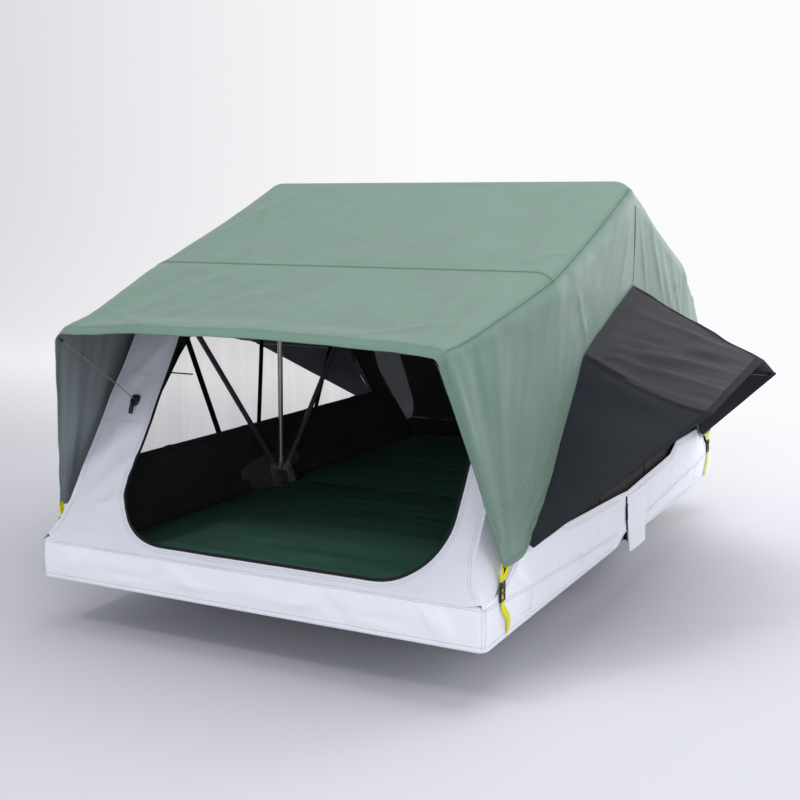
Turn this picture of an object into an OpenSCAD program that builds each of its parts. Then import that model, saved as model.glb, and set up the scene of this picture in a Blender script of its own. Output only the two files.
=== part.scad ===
// Folding roof top tent for two people, shown open.
// The base folds in half about an axis along X above the origin. The rear half, towards +Y,
// is bolted to roof bars, and the front half swings up and over it. Three hoops fan out from
// a pivot bolt on each side, in line with the fold axis, and carry the fabric body.

/* [Base] */
// Width across the base frame
base_w = 1360; // [1300:10:1420]
// Length of each base half, from the fold line to its end
half_len = 1180; // [1140:10:1220]
// Distance of each half from the fold line
fold_gap = 4; // [2:1:8]
// Height of the fold axis above the frame rails
fold_rise = 74; // [68:1:84]
// Height of the frame rails
frame_h = 42; // [40:1:50]
// Width of the frame rails
frame_t = 36; // [32:1:42]
// Wall of the hollow frame rails
frame_wall = 3; // [2:0.5:4]
// Depth of the groove that holds the edge of a deck panel
groove_d = 8; // [5:1:12]
// Thickness of a deck panel
deck_t = 12; // [8:1:14]
// Depth of the deck's top below the top of the frame
deck_drop = 14; // [10:1:18]

/* [Mounting rails] */
// Height of a mounting rail
mount_h = 50; // [40:1:60]
// Width of a mounting rail's hollow box
mount_w = 40; // [30:1:60]
// Wall of a mounting rail
mount_wall = 4; // [3:0.5:6]
// Width of the foot flange that takes the bolts
flange_w = 34; // [28:1:44]
// Distance between the two mounting rails, from middle to middle of their boxes
mount_gap = 700; // [600:10:800]
// Distance of a mounting rail's ends from the ends of its base half
mount_inset = 12; // [6:1:24]
// Diameter of the bolt holes
bolt_d = 9; // [7:0.5:11]
// Distance between the bolt holes along the tent
bolt_gap = 700; // [600:10:800]
// Thickness of a rail end cap
cap_t = 3; // [2:0.5:5]

/* [Mattress] */
// Thickness of the mattress at its crown
mattress_t = 52; // [44:1:54]
// Gap between the mattress and the side rails
mattress_side = 14; // [12:1:24]
// Distance behind the hubs over which the mattress widens
mattress_neck = 90; // [60:5:120]
// How far the mattress sides draw in between the corners
mattress_draw = 10; // [0:1:15]
// How far the top falls from the crown to the edge
mattress_fall = 9; // [4:1:14]
// Gap between the mattress and what lies around it
mattress_gap = 6; // [3:1:10]

/* [Hoops] */
// Distance from the pivot to the middle of a hoop's top bar
hoop_reach = 1035; // [1000:5:1060]
// Lean of the front and rear hoops from upright, in degrees
hoop_lean = 41.5; // [38:0.5:44]
// Outside diameter of the hoop tubes
tube_d = 19; // [16:1:21]
// Wall of the hoop tubes
tube_wall = 1.5; // [1:0.25:2.5]
// Bend radius of the hoop corners
bend_r = 70; // [60:5:80]
// Gap between the legs of neighbouring hoops
leg_gap = 3; // [2:0.5:5]
// Length of the plugs that join tube to elbow and tube to eye
plug_len = 40; // [25:5:60]

/* [Hub] */
// Diameter of the pivot bolt
pivot_d = 8; // [6:1:10]
// Radius of the eye at the foot of a leg
eye_r = 12; // [10:1:14]
// Width of that eye along the pivot bolt
eye_w = 14; // [12:1:16]
// Thickness of the hub plates
hub_t = 4; // [3:0.5:5]
// Radius of the hub plates round the pivot
hub_r = 16; // [14:1:20]
// Gap between the outer hub plate and the outermost eye
hub_space = 5; // [4:1:7]
// Distance of the outer hub plate from the side of the base
hub_edge = 5.5; // [5:0.5:8]
// Length of the hub's foot along the rail
hub_foot = 42; // [30:2:60]
// Radius of the pivot bolt's head and nut
head_r = 7.5; // [7:0.5:9]
// Height of the pivot bolt's head and nut
head_h = 4; // [3:0.5:4.5]
// Radial clearance of the turning fits
run_clear = 0.05; // [0.02:0.01:0.1]
// Radial clearance of the plugs in the tubes
plug_clear = 0.1; // [0.05:0.05:0.2]

/* [Fold hinge] */
// Thickness of the hinge plates
hinge_t = 4; // [3:0.5:4.5]
// Radius of the hinge plates round the pin
hinge_r = 16; // [13:1:18]
// Diameter of the fold pin
fold_pin_d = 12; // [8:1:14]
// Length of a hinge plate along the frame rail
hinge_len = 120; // [100:5:160]
// Height of a hinge plate on the frame rail
hinge_h = 30; // [24:1:34]
// Gap between the front and rear hinge plates
hinge_gap = 0.6; // [0.4:0.1:1]
// Height of the fold pin's head
fold_head_h = 3; // [2:0.5:3]
// Radius of a rivet head
rivet_r = 5; // [4:0.5:6]

/* [Skirt] */
// Distance from the base frame to the outside of the skirt
skirt_out = 20; // [18:1:26]
// Thickness of the fabric solids
cloth_t = 3; // [2:0.5:4]
// Corner radius of the skirt
skirt_r = 60; // [40:5:90]
// Height of the hem above the underside of the frame
hem_lift = 2; // [0:0.5:6]
// Height of the skirt along its front and rear
skirt_end_h = 120; // [100:5:140]
// Height of the skirt at the corners, along its sides
skirt_corner_h = 222; // [200:1:250]
// Height of the skirt at the fold line
skirt_mid_h = 140; // [132:1:170]
// Rise of the skirt's top edge along that low stretch
skirt_step = 42; // [20:2:60]
// Distance from the skirt's end to the low stretch of its sides
skirt_low_in = 600; // [500:10:700]
// Distance from the skirt's end to where the corner height starts
skirt_high_in = 360; // [320:10:400]
// Width of the flap over the slit at the fold line
flap_w = 230; // [180:10:300]
// How far the flap passes the fold line
flap_lap = 20; // [10:2:40]
// How far the flap hangs below the hem
flap_drop = 45; // [30:1:48]

/* [Flysheet] */
// How far a canopy reaches out beyond the bar of its hoop
canopy_out = 550; // [520:2:580]
// How far a canopy's edge lies below the bar of its hoop
canopy_drop = 168; // [130:1:200]
// Half width of a canopy at its edge
canopy_x = 590; // [560:2:640]
// Depth of the hem that turns down at a canopy's edge
canopy_hem = 42; // [30:2:60]
// Radius of the flysheet's roof edges
roof_r = 75; // [60:5:90]
// Clearance between cloth and the frame that carries it
cloth_clear = 0.6; // [0.4:0.1:0.9]
// Gap between the outside of the base frame and the flysheet's sides
fly_out = 8; // [7:0.5:12]
// How far the flysheet's lower corners stand outside the skirt
tip_out = 7; // [5:0.5:9]
// Distance of the flysheet's lower corners from the end of the skirt
tip_in = 110; // [90:5:130]
// Height of the flysheet's lower corners above the fold axis
tip_rise = 81; // [70:1:100]
// Length of the flysheet's lower corner
tip_len = 150; // [120:5:220]
// Distance over which the edge behind the lower corner curves up
turn_y = 95; // [80:5:140]
// Height of the end of that curve above the lower corner
turn_rise = 90; // [80:1:110]
// Height of the side opening's shoulder above the fold axis
shoulder_rise = 547; // [520:1:580]
// Distance of that shoulder from the fold line
shoulder_y = 483; // [450:3:520]
// Height of the side opening's peak above the fold axis
peak_rise = 721; // [690:1:750]
// Sag of the roof between two hoops
roof_sag = 9; // [0:1:20]

/* [Walls] */
// Half width of the end walls at the foot
wall_foot_x = 662; // [650:1:666]
// Half width of the end walls where they leave the skirt
wall_wide_x = 692; // [680:1:695]
// Half width of the end walls half way up
wall_waist_x = 666; // [650:1:668]
// Half width of the end walls at their shoulders
wall_top_x = 630; // [610:2:640]
// Half width of the end walls at the hoop
wall_crown_x = 570; // [540:2:580]
// Height of the end walls' sloping shoulders
wall_shoulder = 70; // [50:2:90]
// Width of a door opening
door_w = 1036; // [900:4:1060]
// Height of a door opening along the wall
door_h = 760; // [700:5:800]
// Distance of a door opening from the foot of its wall
door_sill = 22; // [15:1:40]
// Shift of the door from the middle of the wall
door_shift = 50; // [0:2:60]
// Radius of the door's lower corners
door_r = 190; // [150:5:240]
// Radius of the door's upper corners
door_top_r = 110; // [80:5:160]
// Width of the zip round the door
zip_w = 8; // [5:1:12]
// Radius of the rolled door
roll_r = 30; // [24:1:36]
// Length of the rolled door
roll_len = 820; // [700:10:900]
// Height of the window sills above the fold axis
sill_rise = 178; // [160:2:200]
// Half length of a window at its sill
window_y = 800; // [740:5:830]
// Gap between a window and the edge of the side opening
window_in = 36; // [24:2:50]
// How far the waist of a side wall's end edge stays inside the flysheet's lower turn
waist_in = 18; // [14:1:30]

/* [Hoods and rods] */
// How far a hood's outer corners stand out from the side of the flysheet
hood_out = 374; // [320:2:400]
// How far the end of a hood's ridge stands out beyond its corners
hood_bow = 42; // [20:1:60]
// Half length of a hood's outer edge
hood_y = 480; // [440:5:520]
// Height of a hood's outer corners above the fold axis
hood_rise = 406; // [380:2:430]
// How far the end of a hood's ridge stands above its corners
hood_arch = 100; // [60:2:120]
// How far a gusset's rim hangs below the flysheet's lower corner
hood_drop = 6; // [4:0.5:8]
// Lap of a gusset over the flysheet's lower corner
hood_lap = 8; // [6:0.5:12]
// Sag of a hood's panels
hood_sag = 5; // [0:0.5:10]
// Length of the hem cord under a hood's peak
hood_cord_len = 120; // [80:5:160]
// Diameter of the hood rods
hood_rod_d = 5; // [4:0.5:7]
// Diameter of the canopy rods
rod_d = 4; // [3:0.5:6]
// Distance along the end wall from its foot to a rod socket
socket_s = 452; // [430:2:470]
// Distance of a rod socket from the middle of the tent, on the side towards which the door is shifted
socket_x = 600; // [592:2:610]
// Distance of a rod socket from the middle of the tent, on the other side
socket_far_x = 542; // [520:2:560]
// Radius of a rod socket
socket_r = 9; // [7:1:12]

/* [Straps and zips] */
// Width of the corner straps
strap_w = 22; // [16:1:28]
// Thickness of the corner straps
strap_t = 1.6; // [1.2:0.2:2]
// Height of the middle of a strap buckle above the fold axis
buckle_rise = 24; // [16:1:32]
// Height of a strap buckle
buckle_h = 30; // [24:1:36]
// Width of a slit zip
slit_zip_w = 14; // [10:1:18]
// Length of a zip pull
pull_len = 46; // [34:2:54]

/* [Hidden] */
$fn = 48;
side_x = base_w / 2;
frame_z = mount_h;
frame_top = frame_z + frame_h;
deck_z = frame_top - deck_drop;
fold_z = frame_top + fold_rise;
inner_w = base_w - 2 * frame_t;
mattress_w = inner_w - 2 * mattress_side;
tube_r = tube_d / 2;
bore_r = tube_r - tube_wall;
plug_r = bore_r - plug_clear;
leg_pitch = tube_d + leg_gap;
hub_outer_x = side_x - hub_edge;
front_leg_x = hub_outer_x - hub_t - hub_space - eye_w / 2;
mid_leg_x = front_leg_x - leg_pitch;
rear_leg_x = mid_leg_x - leg_pitch;
hub_inner_x = rear_leg_x - eye_w / 2 - hub_space;
leg_start = eye_r + 12;
bar_y = hoop_reach * sin(hoop_lean);
bar_z = fold_z + hoop_reach * cos(hoop_lean);
ridge_z = fold_z + hoop_reach;
cap_h = 12;
pull_t = 4;
buckle_t = 5;
buckle_rim = 4;
eps = 0.5;

// Skirt
skirt_x = side_x + skirt_out;
skirt_y = half_len + skirt_out;
skirt_low_y = skirt_y - skirt_low_in;
skirt_high_y = skirt_y - skirt_high_in;
hem_z = frame_z + hem_lift;

// Flysheet: roof_lift is the height of the cloth's outside over the middle of a bar
roof_lift = tube_r + cloth_clear + cloth_t;
fly_x = side_x + fly_out + cloth_t;
tip_x = skirt_x + tip_out + cloth_t;
canopy_y = bar_y + canopy_out;
canopy_z = bar_z - canopy_drop;
peak_z = fold_z + peak_rise;
shoulder_z = fold_z + shoulder_rise;
tip_z = fold_z + tip_rise;
tip_y = skirt_y - tip_in;
tip_back_y = tip_y - tip_len;

// End walls: a plane from the foot inside the skirt, laid against the hoop's top bar
foot_y = skirt_y - cloth_t - cloth_clear;
foot_z = hem_z + skirt_end_h;
wall_off = tube_r + cloth_clear;
wall_run = norm([foot_y - bar_y, bar_z - foot_z]);
wall_slope = atan2(bar_z - foot_z, foot_y - bar_y) + asin(wall_off / wall_run);
wall_len = sqrt(pow(wall_run, 2) - pow(wall_off, 2)) - 2;

// Where the end walls and the tops of the skirt's corners meet
skirt_top_z = hem_z + skirt_corner_h;
skirt_meet_y = foot_y - (skirt_top_z - foot_z) / tan(wall_slope);
wall_wide_s = (skirt_top_z - foot_z) / sin(wall_slope);

// Helpers

module both_sides() {
    children();
    mirror([1, 0, 0]) children();
}

module front_half() {
    mirror([0, 1, 0]) children();
}

// Extrudes an outline drawn in (Y, Z) from x0 to x1
module plate_yz(x0, x1) {
    translate([x0, 0, 0]) rotate([90, 0, 90]) linear_extrude(x1 - x0) children();
}

// A rod of diameter d from a to b
module rod(a, b, d) {
    v = b - a;
    translate(a)
        rotate([0, acos(v.z / norm(v)), atan2(v.y, v.x)])
            cylinder(d = d, h = norm(v));
}

// A rectangle with rounded lower corners and rounded upper corners, its foot at y = 0
module arched_door(w, h, low_r, top_r) {
    translate([-w / 2, low_r]) square([w, h - low_r - top_r]);
    translate([-w / 2 + low_r, 0]) square([w - 2 * low_r, h / 2]);
    translate([-w / 2 + top_r, h / 2]) square([w - 2 * top_r, h / 2]);
    for (s = [-1, 1]) {
        translate([s * (w / 2 - low_r), low_r]) circle(low_r);
        translate([s * (w / 2 - top_r), h - top_r]) circle(top_r);
    }
}

module rounded_rect(x, y, r) {
    square([2 * x, 2 * (y - r)], center = true);
    square([2 * (x - r), 2 * y], center = true);
    for (i = [-1, 1], j = [-1, 1])
        translate([i * (x - r), j * (y - r)]) circle(r);
}

// Joins two grids of points, an outside and an inside, into one closed sheet
module thick_sheet(outside, inside) {
    rows = len(outside);
    cols = len(outside[0]);
    n = rows * cols;
    pts = concat([for (r = outside, p = r) p], [for (r = inside, p = r) p]);
    skins = [for (i = [0 : rows - 2], j = [0 : cols - 2])
        let (a = i * cols + j, b = a + 1, c = a + cols, d = c + 1)
        each [[a, b, d], [a, d, c], [n + a, n + d, n + b], [n + a, n + c, n + d]]];
    ends = [for (j = [0 : cols - 2])
        let (a = j, b = j + 1, c = (rows - 1) * cols + j, d = c + 1)
        each [[a, n + a, n + b], [a, n + b, b], [c, d, n + d], [c, n + d, n + c]]];
    edges = [for (i = [0 : rows - 2])
        let (a = i * cols, b = a + cols, c = a + cols - 1, d = c + cols)
        each [[a, b, n + b], [a, n + b, n + a], [c, n + c, n + d], [c, n + d, d]]];
    polyhedron(pts, concat(skins, ends, edges));
}

// Base halves

// Frame rail in section: a hollow box with a groove for the deck on its left side
module rail_section() {
    difference() {
        square([frame_t, frame_h]);
        translate([-eps, frame_h - deck_drop - deck_t])
            square([groove_d + eps, deck_t]);
        translate([groove_d + frame_wall, frame_wall])
            square([frame_t - groove_d - 2 * frame_wall, frame_h - 2 * frame_wall]);
    }
}

// Hinge beam in section: a lower hollow box with an open rebate for the deck
module hinge_section() {
    h = frame_h - deck_drop;
    difference() {
        square([frame_t, h]);
        translate([-eps, h - deck_t]) square([groove_d + eps, deck_t + eps]);
        translate([groove_d + frame_wall, frame_wall])
            square([frame_t - groove_d - 2 * frame_wall, h - 2 * frame_wall]);
    }
}

module side_rails() {
    both_sides()
        translate([side_x - frame_t, half_len, frame_z])
            rotate([90, 0, 0]) linear_extrude(half_len - fold_gap) rail_section();
}

module end_beam() {
    translate([-inner_w / 2, half_len - frame_t, frame_z])
        rotate([90, 0, 90]) linear_extrude(inner_w) rail_section();
}

module hinge_beam() {
    translate([-inner_w / 2, fold_gap + frame_t, frame_z])
        rotate([90, 0, 90]) linear_extrude(inner_w) mirror([1, 0]) hinge_section();
}

module deck() {
    x = inner_w / 2 + groove_d - eps;
    y0 = fold_gap + frame_t - groove_d + eps;
    y1 = half_len - frame_t + groove_d - eps;
    translate([-x, y0, deck_z - deck_t]) cube([2 * x, y1 - y0, deck_t]);
}

// Mattress half: a crowned pad with drawn-in sides, narrower beside the hubs
module mattress() {
    nx = 22;
    ny = 20;
    neck_x = hub_inner_x - hub_t - head_h - mattress_gap;
    neck_y = hub_foot + hub_r + hub_t;
    y0 = fold_gap + mattress_gap / 2;
    y1 = half_len - frame_t - mattress_gap;
    z0 = deck_z + eps / 2;
    function half_w(y) = lookup(y, [[neck_y, neck_x], [neck_y + mattress_neck, mattress_w / 2]]);
    // Share of the way along, crowded towards both ends
    function share(t) = (1 - cos(180 * t)) / 2;
    function spot(i, j, lift) =
        let (u = 2 * share(i / nx) - 1, t = share(j / ny), v = 2 * t - 1, y = y0 + (y1 - y0) * t,
             pull = mattress_draw * (1 - v * v),
             rim = max(pow(abs(u), 12), pow(abs(v), 12)),
             crown = mattress_t - mattress_fall * (u * u + v * v) / 2 - 0.35 * mattress_t * rim)
        [u * (half_w(y) - pull), y, z0 + lift * crown];
    top = [for (i = [0 : nx]) [for (j = [ny : -1 : 0]) spot(i, j, 1)]];
    foot = [for (i = [0 : nx]) [for (j = [ny : -1 : 0]) spot(i, j, 0)]];
    thick_sheet(top, foot);
}

// Skirt half: a wall round the base with a lip under the frame and a low stretch at the fold
module skirt_half() {
    top = skirt_top_z;
    y0 = eps;
    outline = [[y0, hem_z + skirt_mid_h], [skirt_low_y, hem_z + skirt_mid_h + skirt_step],
               [skirt_high_y, top], [skirt_meet_y, top],
               [foot_y, foot_z], [skirt_y + 1, foot_z],
               [skirt_y + 1, hem_z - 1], [y0, hem_z - 1]];
    intersection() {
        translate([0, 0, hem_z]) {
            linear_extrude(top - hem_z) difference() {
                rounded_rect(skirt_x, skirt_y, skirt_r);
                rounded_rect(skirt_x - cloth_t, skirt_y - cloth_t, skirt_r - cloth_t);
            }
            linear_extrude(cloth_t) difference() {
                rounded_rect(skirt_x, skirt_y, skirt_r);
                square([base_w + 2 * cloth_clear, 2 * (half_len + cloth_clear)], center = true);
            }
        }
        plate_yz(-skirt_x - 1, skirt_x + 1) polygon(outline);
    }
}

// Corner strap of one half: the webbing above the buckle and its tail below
module straps() {
    x = skirt_x + cloth_clear;
    mid = fold_z + buckle_rise;
    both_sides() {
        translate([x, tip_y - strap_w / 2, mid + buckle_h / 2])
            cube([strap_t, strap_w, tip_z - mid - buckle_h / 2 - buckle_rim]);
        translate([x, tip_y - strap_w / 2, mid - buckle_h * 2])
            cube([strap_t, strap_w, buckle_h * 1.5]);
    }
}

// Ladder-lock buckle: a frame with two slots
module buckles() {
    x = skirt_x + cloth_clear;
    w = strap_w + 2 * buckle_rim;
    slot = buckle_h / 4;
    mid = fold_z + buckle_rise;
    both_sides()
        difference() {
            translate([x, tip_y - w / 2, mid - buckle_h / 2]) cube([buckle_t, w, buckle_h]);
            for (k = [-1, 1])
                translate([x - 1, tip_y - strap_w / 2, mid + k * buckle_h / 4 - slot / 2])
                    cube([buckle_t + 2, strap_w, slot]);
        }
}

module rear_deck() { color("gainsboro") deck(); }
module rear_side_rails() { color("silver") side_rails(); }
module rear_end_beam() { color("silver") end_beam(); }
module rear_hinge_beam() { color("silver") hinge_beam(); }
module rear_mattress() { color("darkslategray") mattress(); }
module rear_skirt() { color("gainsboro") skirt_half(); }
module rear_straps() { color("yellow") straps(); }
module rear_buckles() { color("black") buckles(); }
module front_deck() { color("gainsboro") front_half() deck(); }
module front_side_rails() { color("silver") front_half() side_rails(); }
module front_end_beam() { color("silver") front_half() end_beam(); }
module front_hinge_beam() { color("silver") front_half() hinge_beam(); }
module front_mattress() { color("darkslategray") front_half() mattress(); }
module front_skirt() { color("gainsboro") front_half() skirt_half(); }
module front_straps() { color("yellow") front_half() straps(); }
module front_buckles() { color("black") front_half() buckles(); }

// Mounting rails under the fixed half

rail_y0 = fold_gap + mount_inset;
rail_y1 = half_len - mount_inset;
box_x = (mount_gap - mount_w) / 2;
bolt_x = box_x + mount_w + flange_w / 2;

module mounting_rails() {
    bolt_y = (rail_y0 + rail_y1) / 2;
    color("silver")
        both_sides()
            difference() {
                translate([box_x, rail_y1, 0]) rotate([90, 0, 0])
                    linear_extrude(rail_y1 - rail_y0)
                        difference() {
                            union() {
                                square([mount_w, mount_h]);
                                square([mount_w + flange_w, mount_wall]);
                            }
                            translate([mount_wall, mount_wall])
                                square([mount_w - 2 * mount_wall, mount_h - 2 * mount_wall]);
                        }
                for (k = [-1, 1])
                    translate([bolt_x, bolt_y + k * bolt_gap / 2, -1])
                        cylinder(d = bolt_d, h = mount_wall + 2);
            }
}

module rail_end_caps() {
    inset = mount_wall + 0.3;
    color("black")
        both_sides()
            for (end = [[rail_y0, -1], [rail_y1, 1]])
                translate([box_x, end[0], 0]) {
                    translate([0, end[1] > 0 ? 0 : -cap_t, 0]) cube([mount_w, cap_t, mount_h]);
                    translate([inset, end[1] > 0 ? -10 : 0, inset])
                        cube([mount_w - 2 * inset, 10, mount_h - 2 * inset]);
                }
}

// Fold hinge

// Hinge plate outline of the rear half, in (Y, Z)
module hinge_outline() {
    low = frame_z + (frame_h - hinge_h) / 2;
    translate([0, fold_z]) circle(hinge_r);
    polygon([[-hinge_r * 0.7, fold_z - hinge_r * 0.7], [hinge_r * 0.7, fold_z + hinge_r * 0.7],
             [hinge_len, low + hinge_h], [hinge_len, low], [hinge_r, low], [hinge_r, low + hinge_h]]);
}

front_plate_x = side_x + hinge_t + hinge_gap;
pin_head_x = front_plate_x + hinge_t + hinge_gap;

module fold_bore() {
    translate([side_x - 1, 0, fold_z])
        rotate([0, 90, 0]) cylinder(d = fold_pin_d + 2 * run_clear, h = pin_head_x - side_x + 2);
}

module rear_hinge_plates() {
    color("dimgray")
        both_sides()
            difference() {
                plate_yz(side_x, side_x + hinge_t) hinge_outline();
                fold_bore();
            }
}

// The front plate lies outside the rear one, on a pad against its own rail
module front_hinge_plates() {
    low = frame_z + (frame_h - hinge_h) / 2;
    pad_y = hinge_r * 2;
    color("dimgray")
        both_sides()
            difference() {
                union() {
                    plate_yz(front_plate_x, front_plate_x + hinge_t) mirror([1, 0]) hinge_outline();
                    translate([side_x, -hinge_len, low])
                        cube([front_plate_x - side_x, hinge_len - pad_y, hinge_h]);
                }
                fold_bore();
            }
}

// Three rivet heads on a hinge plate's outer face at x
module rivets(x) {
    z = frame_z + frame_h / 2;
    for (k = [1 : 3])
        translate([x, hinge_len * (0.16 + 0.26 * k), z])
            rotate([0, 90, 0]) cylinder(r = rivet_r, h = 2);
}

module rear_rivets() { color("silver") both_sides() rivets(side_x + hinge_t); }
module front_rivets() { color("silver") front_half() both_sides() rivets(front_plate_x + hinge_t); }

module fold_pins() {
    color("silver")
        both_sides()
            translate([side_x, 0, fold_z]) rotate([0, 90, 0]) {
                cylinder(d = fold_pin_d, h = pin_head_x - side_x);
                translate([0, 0, pin_head_x - side_x])
                    cylinder(d = fold_pin_d + 8, h = fold_head_h);
            }
}

// Hub: two plates on a saddle over the side rail, one pivot bolt, bushes between the eyes

module pivot_bore() {
    translate([hub_inner_x - hub_t - 1, 0, fold_z])
        rotate([0, 90, 0])
            cylinder(d = pivot_d + 2 * run_clear, h = hub_outer_x - hub_inner_x + hub_t + 2);
}

hub_y0 = fold_gap + 4;
hub_y1 = hub_y0 + hub_foot;
hub_knee_z = frame_top + hub_t + 8;

module hub_plate_outline(low) {
    translate([0, fold_z]) circle(hub_r);
    polygon([[-hub_r * 0.85, fold_z - hub_r * 0.5], [hub_r * 0.7, fold_z + hub_r * 0.7],
             [hub_y1, hub_knee_z], [hub_y1, low], [hub_y0, low], [hub_y0, hub_knee_z]]);
}

module hub_brackets() {
    foot_w = side_x - frame_t - hub_inner_x - 1;
    color("gray")
        both_sides()
            difference() {
                union() {
                    plate_yz(hub_outer_x - hub_t, hub_outer_x) hub_plate_outline(frame_top);
                    plate_yz(hub_inner_x - hub_t, hub_inner_x) hub_plate_outline(deck_z);
                    translate([hub_inner_x - hub_t, hub_y0, frame_top])
                        cube([hub_outer_x - hub_inner_x + hub_t, hub_foot, hub_t]);
                    translate([hub_inner_x - hub_t, hub_y0, deck_z])
                        cube([foot_w + hub_t, hub_foot, hub_t]);
                }
                pivot_bore();
            }
}

module pivot_bolts() {
    x0 = hub_inner_x - hub_t;
    color("silver")
        both_sides()
            translate([x0, 0, fold_z]) rotate([0, 90, 0]) {
                cylinder(d = pivot_d, h = hub_outer_x - x0);
                translate([0, 0, hub_outer_x - x0]) cylinder(r = head_r, h = head_h - 0.2);
                translate([0, 0, -head_h]) cylinder(r = head_r, h = head_h, $fn = 6);
            }
}

module bush(x0, x1) {
    translate([x0, 0, fold_z]) rotate([0, 90, 0])
        difference() {
            cylinder(d = pivot_d + 6, h = x1 - x0);
            translate([0, 0, -1]) cylinder(d = pivot_d + 2 * run_clear, h = x1 - x0 + 2);
        }
}

module hub_spacers() {
    play = 0.3;
    stops = [hub_inner_x, rear_leg_x, mid_leg_x, front_leg_x, hub_outer_x - hub_t];
    color("black")
        both_sides()
            for (k = [0 : 3])
                bush(stops[k] + (k > 0 ? eye_w / 2 + play : 0),
                     stops[k + 1] - (k < 3 ? eye_w / 2 + play : 0));
}

// Hoops, drawn upright with the pivot at the origin, then leaned and set on the fold axis

module leaned(angle) {
    translate([0, 0, fold_z]) rotate([angle, 0, 0]) children();
}

module hoop_legs(x) {
    both_sides()
        translate([x, 0, leg_start])
            difference() {
                cylinder(r = tube_r, h = hoop_reach - bend_r - leg_start);
                translate([0, 0, -1]) cylinder(r = bore_r, h = hoop_reach - bend_r - leg_start + 2);
            }
}

module hoop_bar(x) {
    half = x - bend_r;
    translate([-half, 0, hoop_reach]) rotate([0, 90, 0])
        difference() {
            cylinder(r = tube_r, h = 2 * half);
            translate([0, 0, -1]) cylinder(r = bore_r, h = 2 * half + 2);
        }
}

module hoop_elbows(x) {
    both_sides()
        translate([x - bend_r, 0, hoop_reach - bend_r]) {
            rotate([90, 0, 0]) rotate_extrude(angle = 90) translate([bend_r, 0]) circle(tube_r);
            translate([bend_r, 0, -plug_len]) cylinder(r = plug_r, h = plug_len);
            translate([-plug_len, 0, bend_r]) rotate([0, 90, 0]) cylinder(r = plug_r, h = plug_len);
        }
}

module hoop_eyes(x) {
    both_sides()
        translate([x, 0, 0])
            difference() {
                union() {
                    translate([-eye_w / 2, 0, 0]) rotate([0, 90, 0]) cylinder(r = eye_r, h = eye_w);
                    translate([-eye_w / 2, -tube_r * 0.6, 0])
                        cube([eye_w, tube_r * 1.2, leg_start - 4]);
                    translate([0, 0, leg_start - 6]) cylinder(r = tube_r, h = 6);
                    translate([0, 0, leg_start]) cylinder(r = plug_r, h = plug_len);
                }
                translate([-eye_w, 0, 0]) rotate([0, 90, 0])
                    cylinder(d = pivot_d + 2 * run_clear, h = 2 * eye_w);
            }
}

module front_hoop_legs() { color("dimgray") leaned(hoop_lean) hoop_legs(front_leg_x); }
module front_hoop_bar() { color("dimgray") leaned(hoop_lean) hoop_bar(front_leg_x); }
module front_hoop_elbows() { color("black") leaned(hoop_lean) hoop_elbows(front_leg_x); }
module front_hoop_eyes() { color("gray") leaned(hoop_lean) hoop_eyes(front_leg_x); }
module mid_hoop_legs() { color("silver") leaned(0) hoop_legs(mid_leg_x); }
module mid_hoop_bar() { color("silver") leaned(0) hoop_bar(mid_leg_x); }
module mid_hoop_elbows() { color("black") leaned(0) hoop_elbows(mid_leg_x); }
module mid_hoop_eyes() { color("gray") leaned(0) hoop_eyes(mid_leg_x); }
module rear_hoop_legs() { color("dimgray") leaned(-hoop_lean) hoop_legs(rear_leg_x); }
module rear_hoop_bar() { color("dimgray") leaned(-hoop_lean) hoop_bar(rear_leg_x); }
module rear_hoop_elbows() { color("black") leaned(-hoop_lean) hoop_elbows(rear_leg_x); }
module rear_hoop_eyes() { color("gray") leaned(-hoop_lean) hoop_eyes(rear_leg_x); }

// Flysheet

// Height of the roof's outside at a distance y from the fold line
function roof_at(y) =
    let (a = abs(y), bend_y = bar_y + 4, bend_z = bar_z + roof_lift,
         lean = (ridge_z - bar_z) / bend_y,
         t = a < bend_y ? a / bend_y : (a - bend_y) / (canopy_y - bend_y))
    lookup(a, [[0, ridge_z + roof_lift], [12, ridge_z + roof_lift - 12 * lean / 2],
               [bend_y, bend_z], [canopy_y, canopy_z]]) - roof_sag * sin(180 * t) * (a < bend_y ? 1 : 0.5);

// Height of the lower edge of a side panel
function edge_at(y) =
    lookup(abs(y), [[0, peak_z], [shoulder_y, shoulder_z], [tip_back_y - turn_y, tip_z + turn_rise],
                    [tip_back_y, tip_z], [tip_y, tip_z],
                    [canopy_y, canopy_z - canopy_hem]]);

function side_at(y) = lookup(abs(y), [[0, fly_x], [bar_y, fly_x], [canopy_y, canopy_x]]);

// How far the side panel flares out by its lower edge
function flare_at(y) =
    lookup(abs(y), [[shoulder_y, fly_x], [tip_back_y, tip_x], [tip_y, tip_x], [canopy_y, canopy_x + 4]]);

function corner_at(y) = lookup(abs(y), [[bar_y, roof_r], [canopy_y, canopy_hem - 8]]);

// Half section of the flysheet at y, from the middle of the roof to the lower edge
function fly_half(y, inset) =
    let (z = roof_at(y) - inset, x = side_at(y) - inset, r = corner_at(y) - inset, low = edge_at(y),
         low_x = flare_at(y) - inset, high = z - r)
    concat([for (t = [0.5, 1]) [t * (x - r), y, z]],
           [for (a = [45, 0]) [x - r + r * cos(a), y, z - r + r * sin(a)]],
           [for (t = [1 / 3, 2 / 3, 1])
               [x + (low_x - x) * t, y, high + (min(low, high - 4) - high) * t]]);

function fly_row(y, inset) =
    let (half = fly_half(y, inset), n = len(half))
    concat([for (k = [n - 1 : -1 : 0]) [-half[k].x, y, half[k].z]],
           [[0, y, roof_at(y) - inset]], half);

// Values in rising order, each one once
function sorted(v) =
    len(v) < 2 ? v :
    let (m = v[floor(len(v) / 2)])
    concat(sorted([for (a = v) if (a < m) a]), [m], sorted([for (a = v) if (a > m) a]));

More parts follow.
